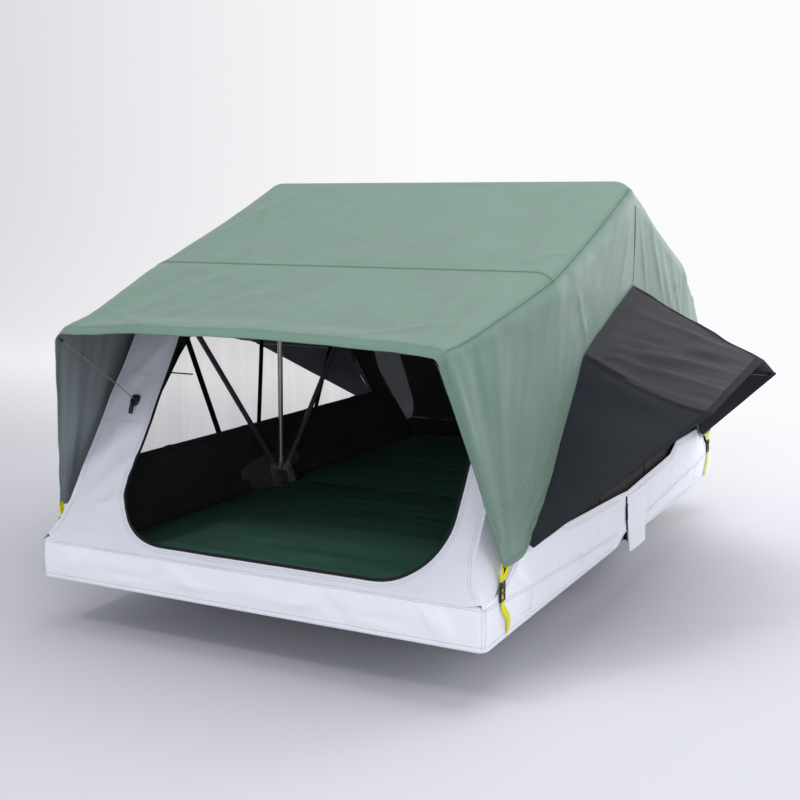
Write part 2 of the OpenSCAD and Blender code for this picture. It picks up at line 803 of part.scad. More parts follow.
fly_half_stations = sorted(concat(
    [for (k = [0 : 4]) tip_y + (canopy_y - tip_y) * k / 4],
    [tip_back_y - turn_y, tip_back_y - turn_y / 2, tip_back_y, (tip_y + tip_back_y) / 2],
    [bar_y + 4, bar_y - 30],
    [for (k = [1, 2]) shoulder_y + (bar_y - shoulder_y) * k / 3],
    [for (k = [1 : 4]) shoulder_y * k / 4], [12]));
fly_stations = concat([for (k = [len(fly_half_stations) - 1 : -1 : 0]) -fly_half_stations[k]], [0],
                      fly_half_stations);

module flysheet() {
    color("darkseagreen")
        thick_sheet([for (y = fly_stations) [for (p = fly_row(y, 0)) p]],
                    [for (y = fly_stations) [for (p = fly_row(y, cloth_t)) p]]);
}

// End walls with their doors

// Places an outline drawn on the rear wall, y up the slope from the foot, thickened outwards
module on_wall(from, thick) {
    translate([0, foot_y, foot_z]) mirror([0, 1, 0]) rotate([wall_slope, 0, 0])
        translate([0, 0, from]) linear_extrude(thick) children();
}

module wall_outline() {
    half = [[wall_foot_x, 0], [wall_wide_x, wall_wide_s], [wall_waist_x, wall_len * 0.38],
            [wall_top_x, wall_len - wall_shoulder], [wall_crown_x, wall_len]];
    polygon(concat(half, [for (k = [len(half) - 1 : -1 : 0]) [-half[k].x, half[k].y]]));
}

module door_outline(grow) {
    translate([door_shift, door_sill - grow])
        arched_door(door_w + 2 * grow, door_h + 2 * grow, door_r + grow, door_top_r + grow);
}

module end_wall() {
    on_wall(0, cloth_t)
        difference() {
            wall_outline();
            door_outline(0);
        }
}

module door_zip() {
    on_wall(0, cloth_t)
        difference() {
            door_outline(0);
            door_outline(-zip_w);
        }
}

module front_wall() { color("gainsboro") front_half() end_wall(); }
module front_door_zip() { color("black") front_half() door_zip(); }
module rear_wall() { color("gainsboro") end_wall(); }
module rear_door_zip() { color("black") door_zip(); }

module rear_door() {
    color("gainsboro") on_wall(0, cloth_t) door_outline(-zip_w - cloth_clear);
}

// The front door, rolled up and tied above its opening
module front_door_roll() {
    up = cloth_t + cloth_clear + roll_r;
    color("gainsboro")
        front_half()
            translate([0, foot_y, foot_z]) mirror([0, 1, 0]) rotate([wall_slope, 0, 0])
                translate([door_shift - roll_len / 2, door_sill + door_h + zip_w, up])
                    rotate([0, 90, 0]) cylinder(r = roll_r, h = roll_len);
}

// Side walls with mesh windows

wall_x = side_x + cloth_clear;

// Waist of a side wall's end edge, which keeps it inside the flysheet where that narrows
side_waist = [tip_back_y - turn_y / 2 - waist_in, fold_z + (shoulder_rise - 2) / 2];

module side_wall_outline() {
    low = frame_top - cap_h;
    in = roof_r * 0.8;
    end_y = half_len - skirt_r / 2;
    half = [[end_y, low], [end_y, foot_z], side_waist, [bar_y - in * 0.8, bar_z - in]];
    polygon(concat(half, [[0, ridge_z - in]], [for (k = [3 : -1 : 0]) [-half[k].x, half[k].y]]));
}

// Window outline, parallel to the side opening of the flysheet
module window_outline(grow) {
    sill = fold_z + sill_rise;
    polygon([[-window_y - grow, sill - grow], [window_y + grow, sill - grow],
             [window_y + grow, sill + 30], [shoulder_y - window_in + grow, shoulder_z - window_in + grow],
             [0, peak_z - window_in + grow], [-shoulder_y + window_in - grow, shoulder_z - window_in + grow],
             [-window_y - grow, sill + 30]]);
}

// Room for the fold hinge in the foot of a side wall
module hinge_notch() {
    y = hinge_len + 15;
    translate([-y, frame_z]) square([2 * y, fold_z + hinge_r + 8 - frame_z]);
}

module side_wall() {
    plate_yz(wall_x, wall_x + cloth_t)
        difference() {
            side_wall_outline();
            window_outline(0);
            hinge_notch();
        }
}

module side_wall_right() { color([0.16, 0.16, 0.18]) side_wall(); }
module side_wall_left() { color([0.16, 0.16, 0.18]) mirror([1, 0, 0]) side_wall(); }

module window_meshes() {
    color([0.3, 0.3, 0.32])
        both_sides()
            plate_yz(wall_x + 1, wall_x + 2) window_outline(-cloth_clear / 2);
}

// Side hoods: two gable panels from the side opening's peak out along a ridge, and two gussets

hood_edge_x = fly_x + hood_out;
hood_z = fold_z + hood_rise;
hood_knee = 0.515;
hood_end = 0.995;
hood_cord_x = (wall_x + cloth_t + side_x + fly_out) / 2;
hood_cord_z = peak_z - 2 * hood_drop;
hood_cord_d = fly_out - 2 * cloth_clear - cloth_t - 0.8;

// Inner edge of the hood, along the side opening, for t from -1 to 1
function hood_inner(t) =
    let (y = tip_back_y * t)
    [flare_at(y) + cloth_clear, y, edge_at(y)];

// Outer edge: the gusset's rim, a corner, and the edge that rises to the end of the ridge
function hood_outer(t) =
    let (a = abs(t), s = t < 0 ? -1 : 1, k = hood_knee,
         u = a < k ? 1 : (1 - a) / (1 - k), rise = a < k ? 1 - a / k : 0, foot = hood_inner(s),
         y = a < k ? hood_y * a / k : foot.y * s + (hood_y - foot.y * s) * u,
         z = foot.z + (hood_z - foot.z) * u + hood_arch * rise)
    [foot.x + hood_lap + (hood_edge_x - foot.x - hood_lap) * u + hood_bow * rise, s * y,
     z - hood_drop * (1 - u)];

// Point of the hood at t along it and v of the way out, lowered by inset
function hood_spot(t, v, inset) =
    let (a = hood_inner(t), b = hood_outer(t), p = a + (b - a) * v)
    p - [0, 0, inset + hood_sag * sin(180 * v) * sin(180 * min(1, abs(t) / hood_knee))];

module hood() {
    cols = 4;
    gusset = [for (k = [0 : 4]) hood_end + (hood_knee - hood_end) * k / 5];
    ts = concat([for (t = gusset) -t], [for (k = [0 : 10]) hood_knee * (k - 5) / 5],
                [for (k = [4 : -1 : 0]) gusset[k]]);
    thick_sheet([for (t = ts) [for (j = [0 : cols]) hood_spot(t, j / cols, 0)]],
                [for (t = ts) [for (j = [0 : cols]) hood_spot(t, j / cols, cloth_t)]]);
}

// Hood rods run out square to the side, under the hood's outer corners, and a hem cord under
// the peak is what the hood swings about
module hood_rods() {
    rod([hood_cord_x, -hood_cord_len / 2, hood_cord_z], [hood_cord_x, hood_cord_len / 2, hood_cord_z],
        hood_cord_d);
    tip_r = hood_rod_d * 0.8;
    y = hood_y - hood_rod_d;
    inner_x = hood_inner(hood_knee).x;
    end_v = 1 - 3 * tip_r / (hood_edge_x - inner_x);
    z = hood_spot(hood_knee, end_v, cloth_t).z - tip_r - cloth_clear / 2;
    for (s = [-1, 1]) {
        rod([wall_x + cloth_t + cloth_clear, s * y, z], [hood_edge_x - 3 * tip_r, s * y, z], hood_rod_d);
        rod([hood_edge_x - 4 * tip_r, s * y, z], [hood_edge_x - 2 * tip_r, s * y, z], 2 * tip_r);
    }
}

module hood_right() { color([0.2, 0.21, 0.25]) hood(); }
module hood_left() { color([0.2, 0.21, 0.25]) mirror([1, 0, 0]) hood(); }
module hood_rods_right() { color("black") hood_rods(); }
module hood_rods_left() { color("black") mirror([1, 0, 0]) hood_rods(); }

// Canopy rods from the canopy's corners to sockets on the end walls

function wall_point(x, s, off) =
    [x, foot_y - s * cos(wall_slope) + off * sin(wall_slope),
     foot_z + s * sin(wall_slope) + off * cos(wall_slope)];

socket_h = 10;

// Where the sockets of one side of the tent are across its walls
function socket_at(side) = side > 0 ? socket_x : -socket_far_x;

module rod_sockets() {
    color("black")
        for (side = [-1, 1]) {
            on_wall(cloth_t, socket_h) translate([socket_at(side), socket_s]) circle(socket_r);
            front_half() on_wall(cloth_t, socket_h) translate([socket_at(side), socket_s]) circle(socket_r);
        }
}

module canopy_rods() {
    r = canopy_hem - 8;
    reach = (r - cloth_t - rod_d / 2 - cloth_clear) * cos(45);
    color("silver")
        for (side = [-1, 1]) {
            a = wall_point(socket_at(side), socket_s, cloth_t + socket_h + cloth_clear);
            b = [side * (canopy_x - r + reach), canopy_y - 6, canopy_z - r + reach];
            rod(a, b, rod_d);
            front_half() rod(a, b, rod_d);
        }
}

// Slits at the fold line: a flap on the rear skirt, a zip and its pull

module slit_flaps() {
    x = skirt_x + cloth_clear;
    top = hem_z + skirt_mid_h - 6;
    r = 20;
    color("gainsboro")
        both_sides()
            plate_yz(x, x + cloth_t - 1) {
                translate([-flap_lap, hem_z - flap_drop + r]) square([flap_w, top - hem_z + flap_drop - r]);
                translate([-flap_lap + r, hem_z - flap_drop]) square([flap_w - 2 * r, r + 1]);
                for (y = [-flap_lap + r, flap_w - flap_lap - r])
                    translate([y, hem_z - flap_drop + r]) circle(r);
            }
}

slit_zip_y = -flap_lap - slit_zip_w / 2 - 2;

module slit_zips() {
    x = skirt_x + cloth_clear;
    color("black")
        both_sides()
            translate([x, slit_zip_y - slit_zip_w / 2, hem_z + 6])
                cube([1.2, slit_zip_w, skirt_mid_h - 14]);
}

module zip_pull() {
    x = skirt_x + 2 * cloth_clear + 1.2;
    z = hem_z + skirt_mid_h - 26;
    translate([x, slit_zip_y - 5, z]) cube([pull_t, 10, 16]);
    plate_yz(x + pull_t / 2, x + pull_t) {
        translate([slit_zip_y - 3.5, z - pull_len + 4]) square([7, pull_len - 3]);
        translate([slit_zip_y, z - pull_len + 4]) circle(5);
    }
}

module zip_pull_right() { color("black") zip_pull(); }
module zip_pull_left() { color("black") mirror([1, 0, 0]) zip_pull(); }

mounting_rails();
rail_end_caps();
rear_deck();
rear_side_rails();
rear_end_beam();
rear_hinge_beam();
rear_mattress();
hub_brackets();
pivot_bolts();
hub_spacers();
rear_hinge_plates();
rear_rivets();
fold_pins();
rear_skirt();
slit_flaps();
slit_zips();
rear_straps();
rear_buckles();
front_deck();
front_side_rails();
front_end_beam();
front_hinge_beam();
front_mattress();
front_hinge_plates();
front_rivets();
front_skirt();
front_straps();
front_buckles();
front_hoop_legs();
front_hoop_bar();
front_hoop_elbows();
front_hoop_eyes();
mid_hoop_legs();
mid_hoop_bar();
mid_hoop_elbows();
mid_hoop_eyes();
rear_hoop_legs();
rear_hoop_bar();
rear_hoop_elbows();
rear_hoop_eyes();
flysheet();
front_wall();
front_door_zip();
front_door_roll();
rear_wall();
rear_door_zip();
rear_door();
side_wall_left();
side_wall_right();
window_meshes();
canopy_rods();
rod_sockets();
hood_left();
hood_rods_left();
hood_right();
hood_rods_right();
zip_pull_left();
zip_pull_right();
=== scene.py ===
"""Two-person roof top tent, open on its folding base: cloth, webbing, finishes and studio light."""
import math

import bmesh
import bpy
import numpy as np
from mathutils import Matrix, Vector


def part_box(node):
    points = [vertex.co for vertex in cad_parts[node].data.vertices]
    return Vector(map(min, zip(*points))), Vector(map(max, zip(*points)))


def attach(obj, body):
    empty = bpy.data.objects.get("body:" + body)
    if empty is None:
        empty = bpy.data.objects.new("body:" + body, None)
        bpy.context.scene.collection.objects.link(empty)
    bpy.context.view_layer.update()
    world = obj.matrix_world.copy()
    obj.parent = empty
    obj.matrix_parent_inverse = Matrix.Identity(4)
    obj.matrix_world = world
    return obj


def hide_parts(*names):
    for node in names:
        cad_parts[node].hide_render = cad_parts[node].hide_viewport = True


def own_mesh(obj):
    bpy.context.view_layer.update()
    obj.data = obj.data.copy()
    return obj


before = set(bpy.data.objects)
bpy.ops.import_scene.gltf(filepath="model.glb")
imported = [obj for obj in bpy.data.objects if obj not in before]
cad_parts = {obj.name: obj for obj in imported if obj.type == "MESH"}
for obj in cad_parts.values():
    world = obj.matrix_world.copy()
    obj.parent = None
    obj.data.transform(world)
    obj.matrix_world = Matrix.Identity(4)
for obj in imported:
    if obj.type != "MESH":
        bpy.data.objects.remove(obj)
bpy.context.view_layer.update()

# Sizes in metres, the same as the solids: X from the middle, Y from the fold line, Z from under the rails
BAR_Y, BAR_Z, RIDGE_Z, LIFT = 0.6858, 0.9412, 1.201, 0.0131
CANOPY_Y, CANOPY_Z, CANOPY_X, CANOPY_R = 1.2358, 0.7732, 0.590, 0.026
FLY_X, TIP_X, TIP_Y, TIP_BACK, SHOULDER_Y = 0.691, 0.710, 1.108, 0.940, 0.483
ROOF_R, ROOF_SAG = 0.075, 0.009
FOOT_Y, FOOT_Z, SLOPE, WALL_LEN = 1.1964, 0.172, math.radians(57.05), 0.921
DOOR_W, DOOR_H, DOOR_SILL, DOOR_SHIFT, DOOR_R, DOOR_TOP_R = 1.036, 0.760, 0.022, 0.050, 0.190, 0.110
SOCKET_S, SOCKET_X = 0.452, {-1: -0.542, 1: 0.600}
SKIRT_X, SKIRT_Y, SKIRT_R, HEM_Z = 0.700, 1.200, 0.022, 0.052
SIDE_X, SILL_Z = 0.6806, 0.344
HOOD_X, HOOD_Y, HOOD_Z, HOOD_BOW, HOOD_ARCH = 1.065, 0.480, 0.572, 0.042, 0.100
HOOD_KNEE, HOOD_END = 0.515, 0.995
# Thicknesses of cloth, hems, tapes and thin linings, and how far a row of stitches stands off its cloth
CLOTH_T, HEM_T, TAPE_T, THIN_T = 0.0014, 0.0012, 0.0010, 0.0008
STITCH_OFF = 0.0003

# Half width of an end wall at distances up its slope
WALL_S = (-0.008, 0.04, 0.12, 0.35, 0.851, 0.921)
WALL_X = (0.697, 0.662, 0.645, 0.642, 0.629, 0.570)
# Lower edge of a side panel of the flysheet: distance from the fold line, height
EDGE_Y = (0.0, .10, .186, .30, .359, .417, .483, .53, .556, .634, .702, .775, .853, .905, .935, .955, .99,
          1.035, TIP_Y)
EDGE_Z = (.887, .855, .826, .785, .765, .741, .713, .668, .635, .547, .468, .393, .334, .296, .266, .251,
          .244, .243, .247)
# Shares across the flysheet where the flat roof ends and where the round edge of the roof ends
FLAT_C, EDGE_C = 0.5, 0.6
END_NAME = {-1: "front", 1: "rear"}
SIDE_NAME = {-1: "left", 1: "right"}


# Numbers
def smooth(x):
    x = np.clip(x, 0, 1)
    return x * x * (3 - 2 * x)


def bell(x):
    return np.sin(np.pi * np.clip(x, 0, 1))


def points(*coords):
    """Points from their coordinates, each a number or an array."""
    return np.stack(np.broadcast_arrays(*coords), -1)


def crossed(a, b):
    """Every value of a with every value of b, as two grids."""
    return np.meshgrid(a, b, indexing="ij")


def joined(*parts):
    """Even steps over neighbouring stretches, each (start, end, count), with shared ends taken once."""
    return np.concatenate([np.linspace(*part)[:-1] for part in parts] + [[parts[-1][1]]])


def between(a, b, t):
    """Rows of points from those of a to those of b, at the shares t."""
    return a[:, None] + (b - a)[:, None] * t[:, None]


def curve(x, xs, ys):
    """Smooth curve through points, without overshoot."""
    xs, ys = np.asarray(xs, float), np.asarray(ys, float)
    d = np.diff(ys) / np.diff(xs)
    m = np.zeros_like(ys)
    m[0], m[-1] = d[0], d[-1]
    same = d[:-1] * d[1:] > 0
    m[1:-1][same] = 2 * d[:-1][same] * d[1:][same] / (d[:-1][same] + d[1:][same])
    x = np.clip(x, xs[0], xs[-1])
    i = np.clip(np.searchsorted(xs, x) - 1, 0, len(xs) - 2)
    h = xs[i + 1] - xs[i]
    t = (x - xs[i]) / h
    return (ys[i] * (1 + 2 * t) * (1 - t) ** 2 + m[i] * h * t * (1 - t) ** 2
            + ys[i + 1] * t * t * (3 - 2 * t) + m[i + 1] * h * t * t * (t - 1))


LATTICE_N = 24
LATTICE = np.random.default_rng(11).random((LATTICE_N,) * 3)


def noise(p, size, shift=0.0):
    """Smooth noise from -1 to 1 with lumps of about the given size (a number or one for each axis)."""
    q = p / np.asarray(size, float) + shift
    i = np.floor(q).astype(int)
    f = smooth(q - i)
    total = np.zeros(p.shape[:-1])
    for corner in np.ndindex(2, 2, 2):
        k = (i + corner) % LATTICE_N
        total += np.prod(np.where(corner, f, 1 - f), axis=-1) * LATTICE[k[..., 0], k[..., 1], k[..., 2]]
    return 2 * total - 1


def folds(p, lines):
    """Height of soft folds along lines: (start, end, half width, height)."""
    h = np.zeros(p.shape[:-1])
    for a, b, w, up in lines:
        a, b = np.asarray(a, float), np.asarray(b, float)
        d = b - a
        t = np.clip(((p - a) @ d) / (d @ d), 0, 1)
        r = np.linalg.norm(p - a - t[..., None] * d, axis=-1)
        fade = bell(t * 0.94 + 0.03) ** 0.6
        h += up * np.exp(-(r / w) ** 2) * fade
    return h


def turned(lines, scale):
    """Fold lines with their coordinates times those of scale."""
    return [(np.multiply(a, scale), np.multiply(b, scale), w, h) for a, b, w, h in lines]


def mirrored(lines, axis):
    """Fold lines and their mirror images."""
    return lines + turned(lines, [-1 if k == axis else 1 for k in range(3)])


def unit(v):
    return v / np.maximum(np.linalg.norm(v, axis=-1, keepdims=True), 1e-12)


def normals(p, wrap=False):
    """Unit normals of a grid of points, whose rows may close into a ring."""
    du = np.roll(p, -1, 0) - np.roll(p, 1, 0) if wrap else np.gradient(p, axis=0)
    return unit(np.cross(du, np.gradient(p, axis=1)))


def area_of(p, wrap=False):
    if wrap:
        p = np.concatenate([p, p[:1]])
    a, b, c, d = p[:-1, :-1], p[1:, :-1], p[1:, 1:], p[:-1, 1:]
    parts = np.cross(b - a, d - a), np.cross(b - c, d - c)
    return float(sum(np.linalg.norm(part, axis=-1).sum() for part in parts) / 2)


# Mesh making
class Geo:
    """Vertices, faces and material numbers of one piece."""

    def __init__(self):
        self.v, self.f, self.m, self.n = [], [], [], 0

    def add(self, verts, faces, mats=0):
        self.v.append(np.asarray(verts, float).reshape(-1, 3))
        self.f += [tuple(int(k) + self.n for k in face) for face in faces]
        self.m += list(np.broadcast_to(mats, len(faces)))
        self.n += len(self.v[-1])

    def grid(self, p, mat=0, flip=False, wrap=False, where=None):
        """Quads over rows of points; those that where marks take the next material."""
        a, b = p.shape[:2]
        faces, mats = [], []
        for i in range(a if wrap else a - 1):
            k = (i + 1) % a
            for j in range(b - 1):
                q = (i * b + j, k * b + j, k * b + j + 1, i * b + j + 1)
                faces.append((q[0], q[3], q[2], q[1]) if flip else q)
                mats.append(mat + (where is not None and bool(where[i, j])))
        self.add(p, faces, mats)

    def cloth(self, p, thick=CLOTH_T, mat=0, back=None, face=None, flip=None, wrap=False, out=None,
              front_where=None, back_where=None):
        """A sheet with two faces and closed rims: p is its outside, which looks towards face.

        It returns whether the faces of p had to be turned for that.
        """
        n = normals(p, wrap)
        if flip is None:
            flip = np.sum(n * face) < 0
        if out is None:
            out = -n if flip else n
        q = p - out * thick
        self.grid(p, mat, flip, wrap, front_where)
        self.grid(q, mat if back is None else back, not flip, wrap, back_where)
        rims = [(p[:, 0], q[:, 0], wrap, True), (p[:, -1], q[:, -1], wrap, False)]
        if not wrap:
            rims += [(p[0], q[0], False, False), (p[-1], q[-1], False, True)]
        for a, b, closed, turn in rims:
            self.grid(np.stack([a, b], 1), mat, turn != flip, closed)
        return flip

    def tube(self, path, r, mat=0, sides=8):
        """A round rod along a path, closed at both ends."""
        path = np.asarray(path, float)
        n = len(path)
        r = np.broadcast_to(np.asarray(r, float), (n,))
        t = unit(np.gradient(path, axis=0))
        ref = np.array([0, 0, 1.0]) if abs(t[0, 2]) < 0.9 else np.array([0, 1.0, 0])
        ang = np.linspace(0, 2 * np.pi, sides, endpoint=False)[:, None]
        rows = []
        for k in range(n):
            a = unit(np.cross(ref, t[k]))
            ref = np.cross(t[k], a)
            rows.append(path[k] + r[k] * (np.cos(ang) * a + np.sin(ang) * ref))
        base = self.n
        self.grid(np.stack(rows, 1), mat, wrap=True, flip=True)
        first = [base + j * n for j in range(sides)]
        self.f += [tuple(first), tuple(k + n - 1 for k in reversed(first))]
        self.m += [mat, mat]

    def dashes(self, path, up, long=0.0048, gap=0.0034, wide=0.0011, high=0.0007, sunk=STITCH_OFF):
        """A row of stitches along a path, with the outward direction at each point."""
        path, up = np.asarray(path, float), np.asarray(up, float)
        run = np.concatenate([[0], np.cumsum(np.linalg.norm(np.diff(path, axis=0), axis=1))])
        starts = np.arange(gap, run[-1] - long, long + gap)
        if not len(starts):
            return

        def at(s, of):
            return np.stack([np.interp(s, run, of[:, k]) for k in range(3)], 1)
        a, b, n = at(starts, path), at(starts + long, path), unit(at(starts + long / 2, up))
        s = np.cross(n, unit(b - a)) * wide / 2
        low, top, mid = -n * sunk, n * high, (a + b) / 2
        v = np.stack([a - s + low, a + s + low, b + s + low, b - s + low,
                      mid - s * 0.7 + top, mid + s * 0.7 + top], 1)
        shape = [(0, 1, 5, 4), (1, 2, 5), (2, 3, 4, 5), (3, 0, 4), (3, 2, 1, 0)]
        self.add(v, [tuple(k + 6 * i for k in f) for i in range(len(starts)) for f in shape])

    def box(self, centre, half, axes=((1, 0, 0), (0, 1, 0), (0, 0, 1)), mat=0, bevel=0.2):
        """A block with bevelled long edges."""
        hx, hy, hz = half
        c = bevel * min(hx, hy)
        ring = [(-hx + c, -hy), (hx - c, -hy), (hx, -hy + c), (hx, hy - c), (hx - c, hy), (-hx + c, hy),
                (-hx, hy - c), (-hx, -hy + c)]
        corners = np.array([(x, y, z) for z in (-hz, hz) for x, y in ring]) @ np.asarray(axes, float)
        faces = [tuple(range(7, -1, -1)), tuple(range(8, 16))]
        faces += [(k, (k + 1) % 8, 8 + (k + 1) % 8, 8 + k) for k in range(8)]
        self.add(corners + np.asarray(centre), faces, mat)


def new_object(name, geo, mats):
    me = bpy.data.meshes.new(name)
    me.from_pydata(np.concatenate(geo.v).tolist(), [], geo.f)
    for m in mats:
        me.materials.append(m)
    me.polygons.foreach_set("material_index", np.asarray(geo.m, np.int32))
    me.polygons.foreach_set("use_smooth", np.ones(len(geo.f), bool))
    obj = bpy.data.objects.new(name, me)
    bpy.context.scene.collection.objects.link(obj)
    return obj


# Edges between faces that meet at more than this angle are shaded sharp
SHARP_ANGLE = math.radians(38)


def piece(name, geo, mats, slot, replaces=None, body="mid_hoop", squash="cabin"):
    """A named mesh that rides on a body and hides the part it replaces; its slot and squash are not used."""
    obj = new_object(name, geo, mats)
    obj.data.validate()
    obj.data.set_sharp_from_angle(angle=SHARP_ANGLE)
    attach(obj, body)
    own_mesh(obj)
    if replaces:
        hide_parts(replaces)
    return obj


# Materials
class Look:
    """A material, with short ways to add its nodes."""

    def __init__(self, name):
        self.material = bpy.data.materials.new(name)
        self.material.use_nodes = True
        self.tree = self.material.node_tree
        self.shader = self.tree.nodes["Principled BSDF"]
        self.at = self.node("TexCoord").outputs["Object"]

    def set(self, node, inputs):
        """Give a node's inputs their values, or link them to the outputs of other nodes."""
        for key, value in inputs.items():
            if isinstance(value, bpy.types.NodeSocket):
                self.tree.links.new(value, node.inputs[key])
            else:
                node.inputs[key].default_value = value

    def node(self, kind, inputs=None, **settings):
        n = self.tree.nodes.new("ShaderNode" + kind)
        for key, value in settings.items():
            setattr(n, key, value)
        self.set(n, inputs or {})
        return n

    def noise(self, scale, detail=3.0, stretch=None):
        at = self.at
        if stretch:
            at = self.node("Mapping", {"Scale": stretch, "Vector": at}).outputs["Vector"]
        n = self.node("TexNoise", {"Scale": scale, "Detail": detail, "Roughness": 0.55, "Vector": at})
        return n.outputs["Fac"]

    def ramp(self, fac, low, high, a=0.3, b=0.7):
        n = self.node("ValToRGB", {"Fac": fac})
        for stop, place, colour in zip(n.color_ramp.elements, (a, b), (low, high)):
            stop.position = place
            stop.color = colour
        return n.outputs["Color"]

    def span(self, fac, low, high, a=0.3, b=0.7, **settings):
        ends = {"From Min": a, "From Max": b, "To Min": low, "To Max": high, "Value": fac}
        return self.node("MapRange", ends, **settings).outputs["Result"]

    def math(self, operation, a, b):
        return self.node("Math", {0: a, 1: b}, operation=operation).outputs["Value"]

    def mix(self, blend, factor, a, b):
        n = self.node("Mix", {"Factor": factor, "A": a, "B": b}, data_type="RGBA", blend_type=blend)
        return n.outputs["Result"]

    def bump(self, height, distance, strength, on=None):
        n = self.node("Bump", {"Distance": distance, "Strength": strength, "Height": height})
        if on is not None:
            self.set(n, {"Normal": on})
        return n.outputs["Normal"]

    def weave(self, pitch):
        """Threads crossing at right angles on any face of the object."""
        threads = []
        for turn, axis in (((0, math.radians(45), 0), "X"), ((math.radians(45), 0, 0), "Y")):
            at = self.node("Mapping", {"Rotation": turn, "Vector": self.at}).outputs["Vector"]
            wave = {"Scale": 0.314 / pitch, "Distortion": 0.6, "Detail": 1.0, "Vector": at}
            threads.append(self.node("TexWave", wave, bands_direction=axis).outputs["Fac"])
        return self.math("MULTIPLY", *threads)


def lin(hex_colour, k=1.0):
    """Linear colour times k, from six hexadecimal digits."""
    c = [int(hex_colour[i:i + 2], 16) / 255 for i in (0, 2, 4)]
    return (*[(x / 12.92 if x < 0.04045 else ((x + 0.055) / 1.055) ** 2.4) * k for x in c], 1.0)


def grey(level):
    return (level, level, level, 1)


def fabric(name, colour, vary=0.12, rough=(0.62, 0.8), sheen=0.0, pitch=0.0011, crease=0.0016, lump=26.0,
           grain=0.00012, spec=0.25):
    """Woven cloth: its threads, small creases and soft lumps, and slight changes of tone."""
    look = Look(name)
    big = look.noise(5.0, 5.0)
    tone = look.ramp(big, lin(colour, 1 - vary), lin(colour, 1 + vary))
    dots = look.ramp(look.noise(420.0, 2.0), grey(0.3), grey(0.7))
    threads = look.bump(look.weave(pitch), grain, 0.5)
    small = look.bump(look.noise(lump * 3.1), crease * 0.35, 0.5, threads)
    look.set(look.shader, {
        "Base Color": look.mix("OVERLAY", 0.22, tone, dots), "Roughness": look.span(big, *rough),
        "Sheen Weight": sheen, "Sheen Roughness": 0.5, "Specular IOR Level": spec,
        "Normal": look.bump(look.noise(lump), crease, 0.55, small)})
    return look.material


def solid(name, colour, metal=0.0, rough=(0.35, 0.5), grain=160.0, depth=0.0002, stretch=None):
    """Metal, moulded plastic or thread, with a fine grain and a little wear."""
    look = Look(name)
    fine = look.noise(grain, 4.0, stretch)
    wear = look.ramp(look.noise(9.0, 4.0), lin(colour, 0.9), lin(colour, 1.1))
    shade = look.ramp(fine, grey(0.75), grey(1))
    look.set(look.shader, {
        "Base Color": look.mix("MULTIPLY", 0.5, wear, shade), "Roughness": look.span(fine, *rough),
        "Normal": look.bump(fine, depth, 0.4), "Metallic": metal})
    return look.material


def netting(name, colour, cover, streak=(9.0, 40.0, 2.0)):
    """Fine insect net: see-through between its threads, with faint folds."""
    look = Look(name)
    fold = look.noise(1.0, 3.0, streak)
    look.set(look.shader, {
        "Base Color": look.ramp(look.noise(900.0, 1.0), lin(colour, 0.8), lin(colour, 1.2)),
        "Alpha": look.span(fold, *cover), "Roughness": look.span(fold, 0.6, 0.85),
        "Normal": look.bump(fold, 0.002, 0.4)})
    return look.material


GREEN = fabric("fly_green", "668174", vary=0.05, sheen=0.16, crease=0.0022, lump=16.0, rough=(0.5, 0.64),
               spec=0.32)
GREEN_HEM = fabric("fly_hem_green", "648073", sheen=0.15, vary=0.06, crease=0.0012, lump=30.0)
# Darker green of the seams: painted shade standing in for the groove along each seam
GREEN_SEAM_PAINTED_SHADE = fabric("fly_seam_painted_shade", "506B5D", vary=0.1, crease=0.0006, lump=60.0)
# Inside of the flysheet: its own grey-green, lightened with painted light standing in for light that shines
# through the cloth
GREEN_IN = fabric("fly_lining", "8A9294", crease=0.002, lump=18.0, rough=(0.45, 0.6))
BLACK_IN = fabric("cabin_lining_black", "3C3D3E", vary=0.18, crease=0.003, lump=20.0, rough=(0.5, 0.68),
                  spec=0.2)
WALL = fabric("wall_grey", "DADDE7", vary=0.03, lump=20.0, spec=0.2)
SKIRT = fabric("skirt_grey", "EFF1F8", vary=0.02, crease=0.0014, lump=20.0, spec=0.2)
GREY_HEM = fabric("hem_grey", "DADCE6", vary=0.03, crease=0.001, lump=40.0, spec=0.2)
HOOD = fabric("hood_black", "313136", crease=0.003, lump=14.0, rough=(0.55, 0.7), spec=0.18)
# Darker copy of the hood's black cloth, painted shade: for the gussets, which face sideways, and for the
# hood's underside
HOOD_PAINTED_SHADE = fabric("hood_black_painted_shade", "1F2229", crease=0.002, lump=18.0, rough=(0.55, 0.7), spec=0.14)
HOOD_HEM = fabric("hood_hem_black", "1E1F24", vary=0.15, crease=0.001, lump=40.0, spec=0.14)
SIDE_OUT = fabric("side_wall_dark", "2F2B2A", vary=0.15, crease=0.002, lump=22.0, spec=0.14)
PATCH = fabric("hub_patch_brown", "6A635D", vary=0.25, crease=0.004, lump=30.0, rough=(0.4, 0.55))
MATTRESS = fabric("mattress_cover", "457061", vary=0.14, pitch=0.0016, crease=0.004, lump=15.0,
                  rough=(0.5, 0.68), spec=0.2)
WEBBING = fabric("webbing_yellow", "E6DF0A", vary=0.06, pitch=0.0018, crease=0.0006, lump=60.0, grain=0.0004)
BLACK_TAPE = fabric("tape_black", "17171A", vary=0.2, pitch=0.0014, crease=0.0006, lump=60.0, grain=0.0003)
NET = netting("window_net", "A59EA5", (0.25, 0.33), (9.0, 12.0, 1.0))
BEIGE_NET = netting("rear_net", "B3A39B", (0.7, 0.9))
GREY_THREAD, GREEN_THREAD, BLACK_THREAD = [
    solid("thread_" + name, colour, rough=(0.6, 0.8), grain=800.0)
    for name, colour in (("grey", "A9ADB8"), ("green", "5C7868"), ("black", "303138"))]
